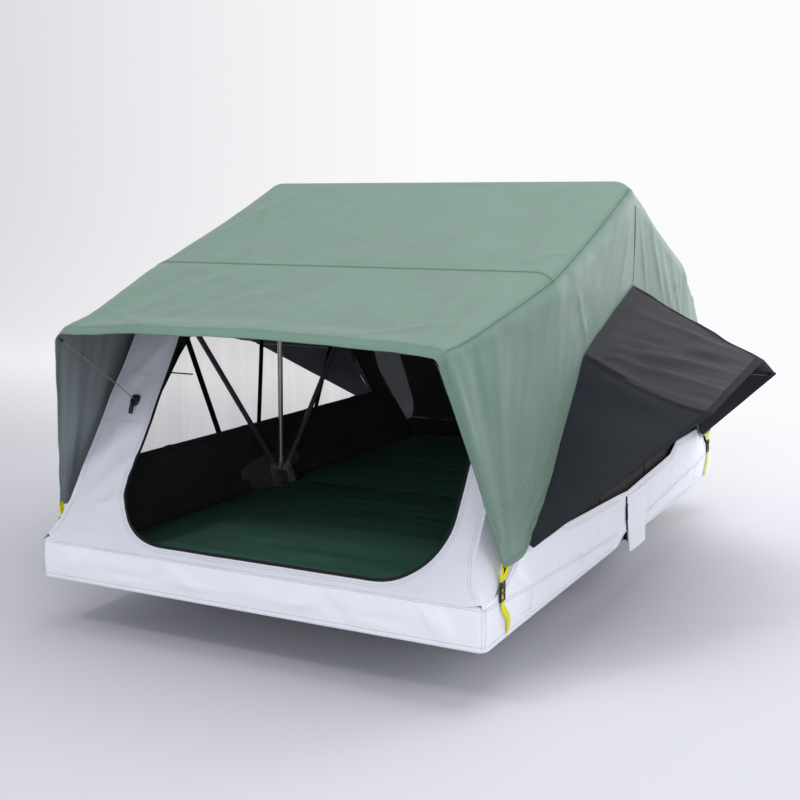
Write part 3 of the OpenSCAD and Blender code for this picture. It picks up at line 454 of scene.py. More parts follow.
PLASTIC = solid("moulded_black", "151517", rough=(0.38, 0.5), grain=500.0, depth=0.00015)
DARK_TUBE = solid("tube_dark", "63676A", 0.35, (0.34, 0.48), 60.0, stretch=(1, 1, 0.06))
BRIGHT_TUBE = solid("tube_satin", "C9C8C4", 0.9, (0.26, 0.38), 60.0, stretch=(1, 1, 0.06))
ALU = solid("aluminium", "B9BBBD", 0.9, (0.36, 0.5), 50.0, stretch=(1, 0.05, 1))
STEEL_ROD = solid("rod_steel", "C4C2BE", 0.9, (0.25, 0.36), 90.0)
BOLT = solid("bolt_steel", "9C9DA0", 0.95, (0.28, 0.42), 120.0)
DARK_STEEL = solid("plate_dark", "3E3F42", 0.7, (0.4, 0.55), 90.0)
HUB = solid("hub_grey", "8A8680", rough=(0.42, 0.58), grain=420.0)
DECK = solid("deck_panel", "C9CBCC", 0.5, (0.42, 0.58), 70.0, stretch=(1, 0.04, 1))

CAD_FINISH = {"mounting_rails": ALU, "rail_end_caps": PLASTIC, "hub_brackets": HUB, "pivot_bolts": BOLT,
              "hub_spacers": PLASTIC, "fold_pins": BOLT}
for half_name in END_NAME.values():
    for part, finish in (("deck", DECK), ("side_rails", ALU), ("end_beam", ALU), ("hinge_beam", ALU),
                         ("hinge_plates", DARK_STEEL), ("rivets", BOLT)):
        CAD_FINISH[half_name + "_" + part] = finish
for hoop_name, metal_finish in (("front", DARK_TUBE), ("mid", BRIGHT_TUBE), ("rear", DARK_TUBE)):
    for part, finish in (("legs", metal_finish), ("bar", metal_finish), ("elbows", PLASTIC), ("eyes", HUB)):
        CAD_FINISH[hoop_name + "_hoop_" + part] = finish
for node_name, finish in CAD_FINISH.items():
    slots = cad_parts[node_name].data.materials
    slots.clear()
    slots.append(finish)


# Camera, floor and light
def make_camera():
    cam = bpy.data.objects.new("camera", bpy.data.cameras.new("camera"))
    image_px, focal_px, place = 800.0, 1230.0, (1.80, -3.84, 1.109)
    cam.data.sensor_width = 36.0
    cam.data.lens = focal_px / image_px * cam.data.sensor_width
    yaw, pitch, roll = math.radians(26.78), math.radians(8.62), math.radians(-0.34)
    fwd = Vector((-math.sin(yaw) * math.cos(pitch), math.cos(yaw) * math.cos(pitch), -math.sin(pitch)))
    right = Vector((math.cos(yaw), math.sin(yaw), 0))
    down = fwd.cross(right)
    r = math.cos(roll) * right + math.sin(roll) * down
    d = -math.sin(roll) * right + math.cos(roll) * down
    m = Matrix((r, -d, -fwd)).transposed().to_4x4()
    m.translation = Vector(place)
    cam.matrix_world = m
    bpy.context.scene.collection.objects.link(cam)
    bpy.context.scene.camera = cam


def floor_look():
    """Pale floor; far off, it and the backdrop are white to the camera and in reflections, dimmed towards the
    left with painted shade.
    """
    look = Look("floor_pale")
    tone = look.noise(0.4, 2.0)
    look.set(look.shader, {"Base Color": look.ramp(tone, lin("CDCDD5"), lin("D2D2D9")),
                           "Roughness": look.span(tone, 0.75, 0.9), "Specular IOR Level": 0.1})
    place = look.node("SeparateXYZ", {"Vector": look.at}).outputs
    far = look.span(place["Y"], 0, 1, -0.4, 4.2, interpolation_type="SMOOTHSTEP")
    across = look.span(place["X"], 0, 1, -9.5, 0.5)
    # painted shade: the glow of the far floor and backdrop dims towards the left
    glow = look.ramp(across, (.70, .69, .73, 1), (.97, .96, .98, 1), 0.0, 0.62)
    white = look.node("Emission", {"Color": glow})
    path = look.node("LightPath").outputs
    seen = path["Is Camera Ray"]
    for ray in ("Is Glossy Ray", "Is Transmission Ray"):
        seen = look.math("MAXIMUM", seen, path[ray])
    both = look.node("MixShader", {"Fac": look.math("MULTIPLY", seen, far), 1: look.shader.outputs["BSDF"],
                                   2: white.outputs["Emission"]})
    look.set(look.tree.nodes["Material Output"], {"Surface": both.outputs["Shader"]})
    return look.material


def make_stage():
    floor_z, bend_y, bend_r, top_z = -0.10, 5.0, 2.0, 7.0
    turn = np.linspace(0.05, np.pi / 2, 14)
    ys = np.concatenate([np.linspace(-9, bend_y, 30), bend_y + bend_r * np.sin(turn),
                         np.full(10, bend_y + bend_r)])
    zs = np.concatenate([np.full(30, floor_z), floor_z + bend_r * (1 - np.cos(turn)),
                         np.linspace(floor_z + 2.3, top_z, 10)])
    x, k = crossed(np.linspace(-12, 12, 60), np.arange(len(ys)))
    g = Geo()
    g.grid(points(x, ys[k], zs[k]))
    new_object("floor", g, [floor_look()])

    scene = bpy.context.scene
    scene.view_settings.view_transform = "Standard"
    scene.world = bpy.data.worlds.new("studio")
    scene.world.use_nodes = True
    back = scene.world.node_tree.nodes["Background"]
    back.inputs["Color"].default_value = (0.95, 0.965, 1.0, 1)
    back.inputs["Strength"].default_value = 0.63
    for name, place, target, size, power, colour in (
            ("key", (-1.2, -4.0, 3.9), (0, -0.5, 0.4), 0.7, 38, (1.0, 0.985, 0.96)),
            ("top", (1.0, 0.2, 4.6), (0, 0, 0.4), 3.6, 112, (1.0, 0.99, 0.98)),
            ("side", (4.0, -1.6, 2.0), (0.7, -0.3, 0.1), 1.6, 25, (0.97, 0.985, 1.0)),
            ("fill", (1.4, -4.8, 1.1), (0, -0.2, 0.3), 1.6, 23, (0.97, 0.985, 1.0)),
            ("back", (2.4, 3.2, 1.6), (0.6, 0.4, 0.1), 2.0, 60, (0.99, 0.99, 1.0))):
        light = bpy.data.lights.new(name, "AREA")
        light.size = size
        light.energy = power
        light.color = colour
        obj = bpy.data.objects.new(name, light)
        obj.location = place
        obj.visible_camera = False
        obj.rotation_euler = (Vector(target) - Vector(place)).to_track_quat("-Z", "Y").to_euler()
        scene.collection.objects.link(obj)


make_camera()
make_stage()


# Flysheet
def roof_z(y):
    """Height of the flysheet along the middle of the roof."""
    a = np.abs(y)
    bend = BAR_Y + 0.004
    lean = (RIDGE_Z - BAR_Z) / bend
    ridge = RIDGE_Z + LIFT
    base = np.interp(a, [0, 0.012, bend, CANOPY_Y], [ridge, ridge - 0.006 * lean, BAR_Z + LIFT, CANOPY_Z])
    t = np.where(a < bend, a / bend, (a - bend) / (CANOPY_Y - bend))
    hem = 0.010 * smooth((a - 1.10) / 0.105) * np.clip((CANOPY_Y - a) / 0.031, 0, 1)
    return base - ROOF_SAG * bell(t) * np.where(a < bend, 1, 0.4) + hem


def edge_z(y):
    return curve(np.abs(y), EDGE_Y, EDGE_Z)


def flare_x(y):
    return np.interp(np.abs(y), [SHOULDER_Y, TIP_BACK, TIP_Y, CANOPY_Y], [FLY_X, TIP_X, TIP_X, CANOPY_X])


def fly(s, c):
    """Point on the flysheet: s along the tent from -1 to 1, c across it from one lower edge to the other."""
    s, c = np.broadcast_arrays(np.asarray(s, float), np.asarray(c, float))
    y = s * CANOPY_Y
    a = np.abs(c)

    def roof(y):
        """Half width of the roof and the radius of its edge."""
        reach = np.abs(y), [BAR_Y, CANOPY_Y]
        return np.interp(*reach, [FLY_X, CANOPY_X]), np.interp(*reach, [ROOF_R, CANOPY_R])
    wide, r = roof(y)
    k = np.clip(a / FLAT_C, 0, 1)
    q = np.clip((a - FLAT_C) / (EDGE_C - FLAT_C), 0, 1) * np.pi / 2
    t = np.clip((a - EDGE_C) / (1 - EDGE_C), 0, 1)
    top = roof_z(y)
    porch = smooth((np.abs(y) - BAR_Y) / (CANOPY_Y - BAR_Y))
    x = k * (wide - r) + r * np.sin(q)
    z = top - r * (1 - np.cos(q)) + 0.020 * porch * (1 - k * k)
    low_y = s * TIP_Y
    z = z + (edge_z(low_y) - (top - r)) * t
    y = y + (low_y - y) * t - s * 0.006 * porch * bell(t)
    # below the roof's edge the panel flares out to its lower edge
    wide, r = roof(y)
    past_tip = np.interp(np.abs(y), [TIP_Y, CANOPY_Y], [EDGE_Z[-1], CANOPY_Z - CANOPY_R])
    low = np.where(np.abs(y) > TIP_Y, past_tip, edge_z(y))
    high = roof_z(y) - r
    share = np.clip((high - z) / np.maximum(high - low, .02), 0, 1)
    x = np.where(t > 0, wide + (flare_x(y) - wide) * share, x)
    return points(np.where(c < 0, -x, x), y, z)


# Folds of the right front quarter's side panel and roof edge, then of the front roof and canopy
FLY_PANEL_LINES = [
    ((.60, -1.20, .76), (.66, -1.12, .40), .016, .006), ((.62, -1.10, .78), (.675, -1.07, .36), .018, -.004),
    ((.65, -1.00, .84), (.70, -1.05, .30), .022, .005), ((.68, -.85, .88), (.705, -1.02, .28), .024, -.004),
    ((.69, -.72, .90), (.707, -.98, .27), .020, .004), ((.69, -.60, .95), (.705, -.93, .28), .022, -.003),
    ((.69, -.45, .98), (.70, -.83, .38), .020, .003), ((.69, -.30, 1.02), (.692, -.62, .60), .024, .003),
    ((.69, -.16, 1.10), (.692, -.40, .78), .020, .003), ((.69, -.05, 1.10), (.692, -.16, .86), .016, .003),
    ((.69, -.55, .90), (.692, -.46, .72), .014, .003), ((.69, -.62, .86), (.70, -.72, .50), .016, -.003),
    ((.705, -1.08, .262), (.69, -.86, .50), .014, .004), ((.705, -1.06, .255), (.705, -.90, .33), .010, .003)]
FLY_ROOF_LINES = [
    ((-.50, -.08, 1.18), (-.62, -.60, .98), .022, .004), ((-.38, -.10, 1.18), (-.46, -.62, .98), .026, -.003),
    ((-.56, -.20, 1.13), (-.50, -.64, .96), .018, .0035), ((-.20, -.06, 1.19), (-.22, -.60, .98), .030, .003),
    ((.05, -.12, 1.16), (.02, -.60, .98), .028, -.003), ((.26, -.08, 1.18), (.30, -.60, .98), .030, .003),
    ((.45, -.10, 1.17), (.40, -.60, .98), .024, -.003), ((.58, -.06, 1.19), (.56, -.60, .98), .022, .004),
    ((-.58, -.74, .93), (-.56, -1.18, .80), .020, .005), ((-.46, -.76, .93), (-.53, -1.18, .80), .022, -.004),
    ((-.32, -.74, .93), (-.48, -1.16, .80), .026, .004), ((-.12, -.74, .93), (-.30, -1.16, .80), .030, -.003),
    ((.10, -.74, .93), (.05, -1.18, .79), .030, .003), ((.30, -.74, .93), (.36, -1.16, .80), .026, -.003),
    ((.46, -.74, .93), (.50, -1.18, .80), .022, .004), ((.58, -.74, .93), (.55, -1.20, .79), .018, .005),
    ((-.55, -1.06, .84), (-.30, -1.205, .795), .016, .003),
    ((.54, -1.04, .84), (.28, -1.205, .795), .016, .003),
    ((-.60, -.06, 1.19), (-.34, -.65, .97), .013, .0039),
    ((-.64, -.19, 1.14), (-.56, -.66, .97), .013, .0033),
    ((-.62, -.29, 1.11), (-.50, -.65, .97), .012, -.0022),
    ((-.24, -.21, 1.13), (-.25, -.63, .98), .013, .0024),
    ((-.10, -.25, 1.12), (-.17, -.66, .97), .013, .0027), ((.11, -.46, 1.04), (.09, -.65, .97), .012, .0021),
    ((.37, -.28, 1.11), (.38, -.45, 1.04), .012, -.0024), ((.41, -.45, 1.05), (.37, -.58, 1.00), .012, .0024),
    ((.69, -.50, 1.03), (.55, -.63, .98), .014, .0036), ((.53, -.21, 1.14), (.54, -.48, 1.03), .013, .0027),
    ((-.40, -.83, .91), (-.36, -.99, .85), .012, .0024), ((-.27, -.93, .87), (-.28, -1.06, .83), .012, .0024),
    ((-.19, -.98, .86), (-.17, -1.10, .82), .012, -.0024), ((.09, -.93, .87), (.07, -1.12, .81), .013, .0027),
    ((.39, -.85, .90), (.31, -1.06, .83), .014, .0030)]
FLY_LINES = mirrored(mirrored(FLY_PANEL_LINES, 0) + FLY_ROOF_LINES, 1)


def fly_wrinkles(p, c):
    """Tension wrinkles: fanning out from the four lower corners, and along the roof between the hoops."""
    corner_y, corner_z, tip_x, tip_y = 1.085, 0.25, 0.56, 1.20
    x, y, z = np.moveaxis(p, -1, 0)
    quarter = np.sign(y) * 3.1 + np.sign(x) * 7.3
    a, b = corner_y - np.abs(y), z - corner_z
    angle, far = np.arctan2(b, a), np.hypot(a, b)
    fan = noise(points(angle * 11, far * 2.0, quarter), 1.0)
    fan = fan + 0.5 * noise(points(angle * 23, far * 3.5, quarter), 1.0, 4.4)
    fan = fan * smooth(far / 0.12) * 0.0034 * np.exp(-far / 0.9)
    a, b = tip_y - np.abs(y), tip_x - np.abs(x)
    angle, far = np.arctan2(a, b), np.hypot(a, b)
    porch = noise(points(angle * 9, far * 3.0, quarter), 1.0, 2.2)
    porch = porch * smooth(far / 0.08) * 0.0030 * np.exp(-far / 0.5)
    rows = noise(points(x / 0.06, y / 0.5, 0), 1.0, 1.3) * 0.0018
    side = smooth((np.abs(c) - 0.585) / 0.05)
    return side * fan + (1 - side) * (np.where(np.abs(y) > BAR_Y, porch, 0) + rows)


def fly_shape(s, c, lift=0.0):
    """The flysheet with its folds and wrinkles, and the outward directions."""
    p = fly(s, c)
    x, y, z = np.moveaxis(p, -1, 0)
    n = normals(p)
    cabin_z = 0.6
    n *= np.where(np.sum(n * points(x, 0, z - cabin_z), -1) < 0, -1, 1)[..., None]
    # the cloth is held where it lies on the bars of the hoops
    held = np.minimum(np.abs(np.abs(y) - BAR_Y), np.abs(y)) / 0.06
    on_roof = np.clip((0.62 - np.abs(c)) / 0.1, 0, 1)
    free = 1 - on_roof * (1 - smooth(held))
    panel_scale, roof_scale = 1.4, 1.9
    h = np.where(np.abs(c) > EDGE_C, panel_scale, roof_scale) * folds(p, FLY_LINES) + fly_wrinkles(p, c)
    h += 0.0022 * noise(p, .16) + 0.0011 * noise(p, .06, 3.3)
    deepest = -0.003
    h = np.where(h < deepest, deepest + (h - deepest) * 0.2, h)
    return p + n * (h * free + lift)[..., None], n


def fly_steps(panel, edge, flat):
    """Steps across the flysheet, with the counts for a side panel, a round edge and the flat roof."""
    return joined((-1, -EDGE_C, panel), (-EDGE_C, -FLAT_C, edge), (-FLAT_C, FLAT_C, flat),
                  (FLAT_C, EDGE_C, edge), (EDGE_C, 1, panel))


def make_fly():
    along = np.unique(np.concatenate([np.linspace(-1, 1, 251), [-0.985, 0.985]]))
    p, _ = fly_shape(*crossed(along, fly_steps(62, 11, 141)))
    g = Geo()
    g.cloth(p, back=1, face=(0, 0, 1), back_where=np.abs(p[:-1, :-1, 1]) < BAR_Y)
    cloth = piece("flysheet_cloth", g, [GREEN, GREEN_IN, BLACK_IN], "green_fabric", "flysheet")
    hems, seams, thread = Geo(), Geo(), Geo()

    def sew(s, c, lift, columns):
        q, m = fly_shape(s, c, lift)
        for k in columns:
            thread.dashes(q[:, k], m[:, k])
        return q, m

    def band(geo, s, c, lift=0.0010, columns=()):
        q, m = sew(s, c, lift, columns)
        geo.cloth(q, 0.0009, face=m)

    def seam(s, c):
        """A seam: a thin strip of darker green, painted shade for its groove, with a row of stitches on each
        side; s and c have five columns.
        """
        band(seams, s[:, 1:4], c[:, 1:4], 0.0008)
        for k in (0, 4):
            sew(s[:, [k, 2]], c[:, [k, 2]], 0.0002, (0,))

    across, along = fly_steps(60, 12, 100), np.linspace(-1, 1, 260)
    five = np.array([-.007, -.0016, 0, .0016, .007])
    over_roof = slice(64, -64)
    for end in (-1, 1):
        wide = np.interp(np.abs(across), [.56, .66], [.026, .0095])
        c, u = crossed(across, np.linspace(0, 1, 7))
        band(hems, end * (1 - wide[:, None] * u), c, columns=(1, 5))
        c, s = crossed(across[over_roof], end * (BAR_Y + .004 + five) / CANOPY_Y)
        seam(s, c)
    for side in (-1, 1):
        band(hems, *crossed(along, side * (1 - np.linspace(0, 0.013, 6))), columns=(1, 4))
        seam(*crossed(along, side * (.552 + five)))
        c, s = crossed(side * np.linspace(EDGE_C, .985, 50), five / CANOPY_Y)
        seam(s, c)
        for end in (-1, 1):
            s, c = crossed(np.linspace(.80, .99, 40), np.linspace(.885, .899, 4))
            sew(end * s, side * (c + .03 * (s - .9)), 0.0004, (0, 3))
    trim = [piece("flysheet_hems", hems, [GREEN_HEM], "green_fabric"),
            piece("flysheet_seams", seams, [GREEN_SEAM_PAINTED_SHADE], "green_fabric"),
            piece("flysheet_stitches", thread, [GREEN_THREAD], "green_fabric")]


# End walls, doors and zips
def wall_point(x, s, off, end):
    """Point of an end wall: x across it, s up its slope, and the distance off it."""
    y = FOOT_Y - s * math.cos(SLOPE) + off * math.sin(SLOPE)
    z = FOOT_Z + s * math.sin(SLOPE) + off * math.cos(SLOPE)
    return points(x, end * y, z)


def wall_x(s):
    return np.interp(s, WALL_S, WALL_X)


def door_loop(grow=0.0):
    """Outline of the doorway on the wall, as points (x, s) anticlockwise from the middle of the sill."""
    w, h, r, q = DOOR_W / 2 + grow, DOOR_H + 2 * grow, DOOR_R + grow, DOOR_TOP_R + grow
    a = np.linspace(0, np.pi / 2, 16)
    right = np.concatenate([
        points(np.linspace(0, w - r, 24)[:-1], 0),
        points(w - r + r * np.sin(a), r - r * np.cos(a)),
        points(w, np.linspace(r, h - q, 16)[1:-1]),
        points(w - q + q * np.cos(a), h - q + q * np.sin(a)),
        points(np.linspace(w - q, 0, 14)[1:], h)])
    return np.concatenate([right, right[::-1][1:-1] * [-1, 1]]) + [DOOR_SHIFT, DOOR_SILL - grow]


def ray_out(loop, centre, corners):
    """Where the ray from centre through each point of a loop last meets a polygon."""
    def cross(u, v):
        return u[..., 0] * v[..., 1] - u[..., 1] * v[..., 0]
    d, a = (loop - centre)[:, None], corners - centre
    e = np.roll(corners, -1, 0) - corners
    den = cross(d, e)
    den = np.where(np.abs(den) < 1e-12, np.inf, den)
    t, u = cross(a, e) / den, cross(a, d) / den
    meets = (t > 0) & (u > -1e-9) & (u < 1 + 1e-9)
    return centre + d[:, 0] * np.where(meets, t, 0).max(1)[:, None]


WALL_HALF = points(WALL_X, WALL_S)
WALL_CORNERS = np.concatenate([WALL_HALF, WALL_HALF[::-1] * [-1, 1]])
WALL_CENTRE = np.array([DOOR_SHIFT, 0.40])
# Folds of the rear wall; those of the front wall are their mirror image
WALL_LINES = [
    ((-.645, 1.17, .20), (-.44, 1.10, .32), .012, .005), ((-.64, 1.15, .23), (-.46, 1.04, .42), .013, .006),
    ((-.63, 1.12, .28), (-.47, .98, .52), .012, -.004), ((-.64, 1.18, .185), (-.36, 1.17, .20), .009, .005),
    ((-.60, 1.14, .25), (-.42, 1.14, .26), .009, -.004), ((-.64, 1.16, .215), (-.50, 1.13, .28), .008, .004),
    ((.645, 1.17, .20), (.56, 1.10, .30), .010, .005), ((.64, 1.14, .25), (.575, 1.0, .46), .012, .004),
    ((-.62, .95, .56), (-.50, .84, .72), .014, .005), ((.63, .95, .56), (.59, .80, .78), .012, .003),
    ((-.63, 1.02, .44), (-.53, .99, .50), .010, .004), ((-.61, .86, .70), (-.50, .90, .62), .012, -.004),
    ((-.56, 1.05, .40), (-.47, 1.08, .35), .010, .004)]


def wall_bow(x, s):
    """How far the end wall hangs inwards between its edges."""
    rim = np.clip((WALL_X[2] - np.abs(x)) / 0.3, 0, 1)
    return -0.010 * bell(s / WALL_LEN) * smooth(rim)


def wall_folds(p, end):
    corner_x, corner_z = -.66, .18
    up, across = p[..., 2] - corner_z, p[..., 0] - corner_x
    angle, far = np.arctan2(up, np.abs(across)), np.hypot(up, across)
    fan = noise(points(angle * 9, far * 4, 0), 1.0) * .0024 * smooth(far / .06) * np.exp(-far / .3)
    lines = turned(WALL_LINES, (1, end, 1))
    return folds(p, lines) + fan + 0.0018 * noise(p, .11) + 0.0009 * noise(p, .04, 2.1)


def on_wall(xs, end, lift=0.0):
    """Points on the shaped end wall from (x, s) pairs, and the outward directions."""
    x, s = xs[..., 0], xs[..., 1]
    p = wall_point(x, s, 0.003 + wall_bow(x, s), end)
    n = np.array([0, end * math.sin(SLOPE), math.cos(SLOPE)])
    held = smooth((WALL_LEN - s) / 0.1) * smooth(s / 0.03 + 0.3)
    return p + n * (1.6 * wall_folds(p, end) * held + lift)[..., None], np.broadcast_to(n, p.shape)


def side_end(z):
    """Distance from the fold line of a side wall's end edge at a height."""
    return np.interp(z, [FOOT_Z, .438, .881], [1.15, .8745, .638])


def make_end_wall(end):
    name = END_NAME[end]
    loop = door_loop()
    p, n = on_wall(between(loop, ray_out(loop, WALL_CENTRE, WALL_CORNERS), np.linspace(0, 1, 22)), end)
    g = Geo()
    g.cloth(p, back=1, face=n, wrap=True, out=n)
    area = area_of(p, True)
    # the margins turn back round the corners to the side walls
    s = np.linspace(WALL_S[0], .845, 60)
    u = np.linspace(0, 1, 12)
    for side in (-1, 1):
        a, _ = on_wall(points(side * wall_x(s), s), end)
        z = a[:, 2]
        b = points(side * np.interp(z, [.25, .32], [.6975, .6785]), end * (side_end(z) - .008), z)
        q = between(a, b, u)
        q += np.array([side * .5, end * .8, 0]) * ((.004 + .0015 * noise(q, .05)) * bell(u))[..., None]
        g.cloth(q, face=(side, 0, 0))
        area += area_of(q)
    cloth = piece(name + "_wall_cloth", g, [WALL, BLACK_IN], "grey_fabric", name + "_wall")

    thread = Geo()

    def sew(xs):
        thread.dashes(*on_wall(xs, end, STITCH_OFF))
    for grow in (0.010, 0.016):
        loop = door_loop(grow)
        sew(np.concatenate([loop, loop[:1]]))
    s = np.linspace(.01, .85, 90)
    for side in (-1, 1):
        for inset in (.010, .017):
            sew(points(side * (wall_x(s) - inset), s))
        for level in (.38, .54):
            x = np.linspace(DOOR_SHIFT + side * (DOOR_W / 2 + .022), side * wall_x(level), 20)
            for up in (0, .006):
                sew(points(x, level + up))
    sewn = piece(name + "_wall_stitches", thread, [GREY_THREAD], "grey_fabric")

    # how far each ring of the zip lies outside the doorway's edge, and off the wall
    profile = ((.003, .0010), (.001, .0016), (-.001, .0020), (-.003, .0038), (-.005, .0038), (-.006, .0006))
    zip_ring = Geo()
    rings = np.stack([on_wall(door_loop(grow), end, up)[0] for grow, up in profile], 1)
    zip_ring.cloth(rings, 0.0016, face=n[0, 0], wrap=True)
    piece(name + "_door_zip_tape", zip_ring, [BLACK_TAPE], "black_zip", name + "_door_zip")


def make_rear_door():
    loop = door_loop(-0.008)
    t = np.linspace(0.02, 1, 40)
    p, n = on_wall(between(np.array([[DOOR_SHIFT, 0.38]]), loop, t), 1)
    p = p + n * (0.006 * (1 - t) ** 0.5 + 0.002 * noise(p, .2, 5.0))[..., None]
    g = Geo()
    flip = g.cloth(p, back=1, face=n, wrap=True, out=n)
    ring = tuple(range(len(loop)))
    g.add(p[:, 0], [ring if flip else ring[::-1]], 0)
    g.add(p[:, 0] - n[:, 0] * CLOTH_T, [ring[::-1] if flip else ring], 1)
    # two net panels with taped rims on the inside, high on the door
    s0, s1 = .50, .64
    for x0, x1 in ((-.33, -.11), (-.06, .16)):
        q, m = on_wall(points(*crossed(np.linspace(x0, x1, 16), np.linspace(s0, s1, 12))), 1, -.004)
        g.cloth(q, THIN_T, 2, face=m, out=m)
        edge = np.array([(x0, s0), (x1, s0), (x1, s1), (x0, s1)])
        mid = edge.mean(0)
        path = densify(edge, .02)
        rim = np.stack([on_wall(mid + (path - mid) * k, 1, -.006)[0] for k in (.96, 1.0, 1.06, 1.10)], 1)
        g.cloth(rim, THIN_T, 3, face=m[0, 0], wrap=True)
    door = piece("rear_door_cloth", g, [WALL, BLACK_IN, BEIGE_NET, BLACK_TAPE], "grey_fabric", "rear_door")


def make_front_roll():
    """The front door rolled up and tied above its opening."""
    tie_x, tie_r = .22, .0245
    turns = np.linspace(0, 2 * np.pi * 3.2, 120)[:, None]
    along = np.linspace(-.41, .41, 90)
    cx, cs, up = DOOR_SHIFT, DOOR_SILL + DOOR_H + .008, 0.0036 + .030
    pinch = 1 - 0.22 * np.exp(-((np.abs(along) - tie_x) / .018) ** 2)
    r = (0.010 + 0.019 * turns / turns[-1]) * pinch
    a = turns + 0.05 * np.sin(along * 11)
    p = wall_point(cx + along, cs + r * np.cos(a), up + r * np.sin(a), -1)
    p += 0.0012 * noise(p, (.07, .02, .02))[..., None] * np.array([0, -.8, .5])
    g = Geo()
    g.cloth(p, HEM_T, flip=False)
    roll = piece("front_door_roll_cloth", g, [WALL], "grey_fabric", "front_door_roll")
    ties = Geo()
    a = np.linspace(0, 2 * np.pi, 40, endpoint=False)
    for x in (cx - tie_x, cx + tie_x):
        ring = [wall_point(x + w, cs + tie_r * np.cos(a), up + tie_r * np.sin(a), -1)
                for w in (-.009, -.003, .003, .009)]
        ties.cloth(np.stack(ring, 1), flip=True, wrap=True)
        ties.box(wall_point(x, cs - .012, up + .0235, -1), (.011, .004, .014), mat=1)
    piece("front_door_ties", ties, [BLACK_TAPE, PLASTIC], "black_fabric")


# Side walls and windows
SIDE_CENTRE = np.array([0, .52])


def both_halves(half, peak_z):
    """Points (y, z) of one half, the peak, and the other half's in turn."""
    return np.array(half + [(0, peak_z)] + [(-y, z) for y, z in reversed(half)])


SIDE_FOOT = .080
WINDOW = both_halves([(.83, SILL_Z), (.80, .375), (.634, .552), (.556, .640), (.49, .700), (.36, .755)], .873)
SIDE_OUTLINE = np.concatenate([
    [(-.19, SIDE_FOOT), (-.139, .190), (.139, .190), (.19, SIDE_FOOT)],
    both_halves([(1.15, SIDE_FOOT), (1.15, FOOT_Z), (.8745, .438), (.638, .881)], RIDGE_Z - .060)])


def densify(loop, step):
    """A closed loop with points added along its edges, about a step apart."""
    out = []
    for a, b in zip(loop, np.roll(loop, -1, 0)):
        n = max(1, int(np.linalg.norm(b - a) / step))
        out += [a + (b - a) * k / n for k in range(n)]
    return np.array(out)


def make_side_wall(side):
    name = "side_wall_" + SIDE_NAME[side]
    outside, inside = (side, 0, 0), (-side, 0, 0)
    loop = densify(WINDOW, 0.02)

    def place(yz, x):
        return points(side * x, yz[..., 0], yz[..., 1])

    def strip(lines, x, thick, mat, face, wrap=False):
        extra.cloth(np.stack([place(line, x) for line in lines], 1), thick, mat, face=face, wrap=wrap)

    p = place(between(loop, ray_out(loop, SIDE_CENTRE, SIDE_OUTLINE), np.linspace(0, 1, 12)), SIDE_X + .003)
    p[..., 0] -= side * (0.0012 + 0.001 * noise(p, .08))
    g, extra = Geo(), Geo()
    g.cloth(p, back=1, face=outside, wrap=True)
    cloth = piece(name + "_cloth", g, [SIDE_OUT, BLACK_IN], "black_fabric", name)
    for y0, z0, y1, z1 in ((-.328, .336, -.527, .732), (-.080, .336, -.036, .860), (.328, .336, .527, .732)):
        a, b = np.array([y0, z0]), np.array([y1, z1])
        d = unit(b - a)
        line = a + np.linspace(0, 1, 24)[:, None] * (b - a)
        across = np.array([d[1], -d[0]])
        strip([line + across * k for k in (-.013, -.004, .004, .013)], SIDE_X - .0004, HEM_T, 0, inside)
    for y in (-.25, -.55, -.80, .25, .55, .80):
        z = np.linspace(.19, .335, 10)
        strip([points(y + w, z) for w in (-.011, 0, .011)], SIDE_X + .0042, TAPE_T, 0, outside)
    rings = [SIDE_CENTRE + (loop - SIDE_CENTRE) * k for k in (.985, 1.0, 1.02, 1.035)]
    strip(rings, SIDE_X + .0008, .0016, 0, inside, True)
    # cover behind the hub, over the room left for the fold hinge
    half, low, high = .20, .086, .215
    y, z = crossed(np.linspace(-half, half, 30), np.linspace(low, high, 14))
    z = z - .03 * (np.abs(y) / half) ** 3 * (z - low) / (high - low)
    extra.cloth(points(side * .6796, y, z), .0005, 1, face=outside)
    # rolled window cover on the sill
    y = np.linspace(-.815, .815, 160)
    roll = points(side * .6735, y, SILL_Z - .004 + .004 * noise(points(y, y, y), .09))
    roll[:, 0] += side * .002 * noise(roll, .05, 2.0)
    extra.tube(roll, .0085 + .0022 * noise(roll, .035, 1.0), 2, sides=10)
    # strip of the floor's rim between the wall and the mattress
    profile = ((.6795, .150), (.676, .128), (.664, .112), (.645, .106), (.628, .104))
    for half in (-1, 1):
        y = half * np.linspace(.15, 1.135, 60)
        q = np.stack([points(side * x, y, z) for x, z in profile], 1)
        q[..., 2] += .0015 * noise(q, .04)
        extra.cloth(q, THIN_T, 2, face=(0, 0, 1))
    bands = piece(name + "_bands", extra, [BLACK_TAPE, PATCH, BLACK_IN], "black_fabric")


def make_windows():
    g = Geo()
    t = np.concatenate([[0.004], np.linspace(.08, 1, 16)])
    for side in (-1, 1):
        y, z = np.moveaxis(between(SIDE_CENTRE[None], densify(WINDOW, 0.025), t), -1, 0)
        p = points(side * .6821, y, z)
        p[..., 0] += side * 0.0008 * noise(p, (.1, .05, .4))
        g.grid(p, wrap=True, flip=np.sum(normals(p, True)[..., 0]) * side < 0)
    net = piece("window_nets", g, [NET], "mesh", "window_meshes")


# Side hoods
def hood_inner(t):
    """Edge of the right hood along the flysheet, for t from -1 to 1."""
    y = TIP_BACK * t
    return points(flare_x(y) + .0006, y, edge_z(y))


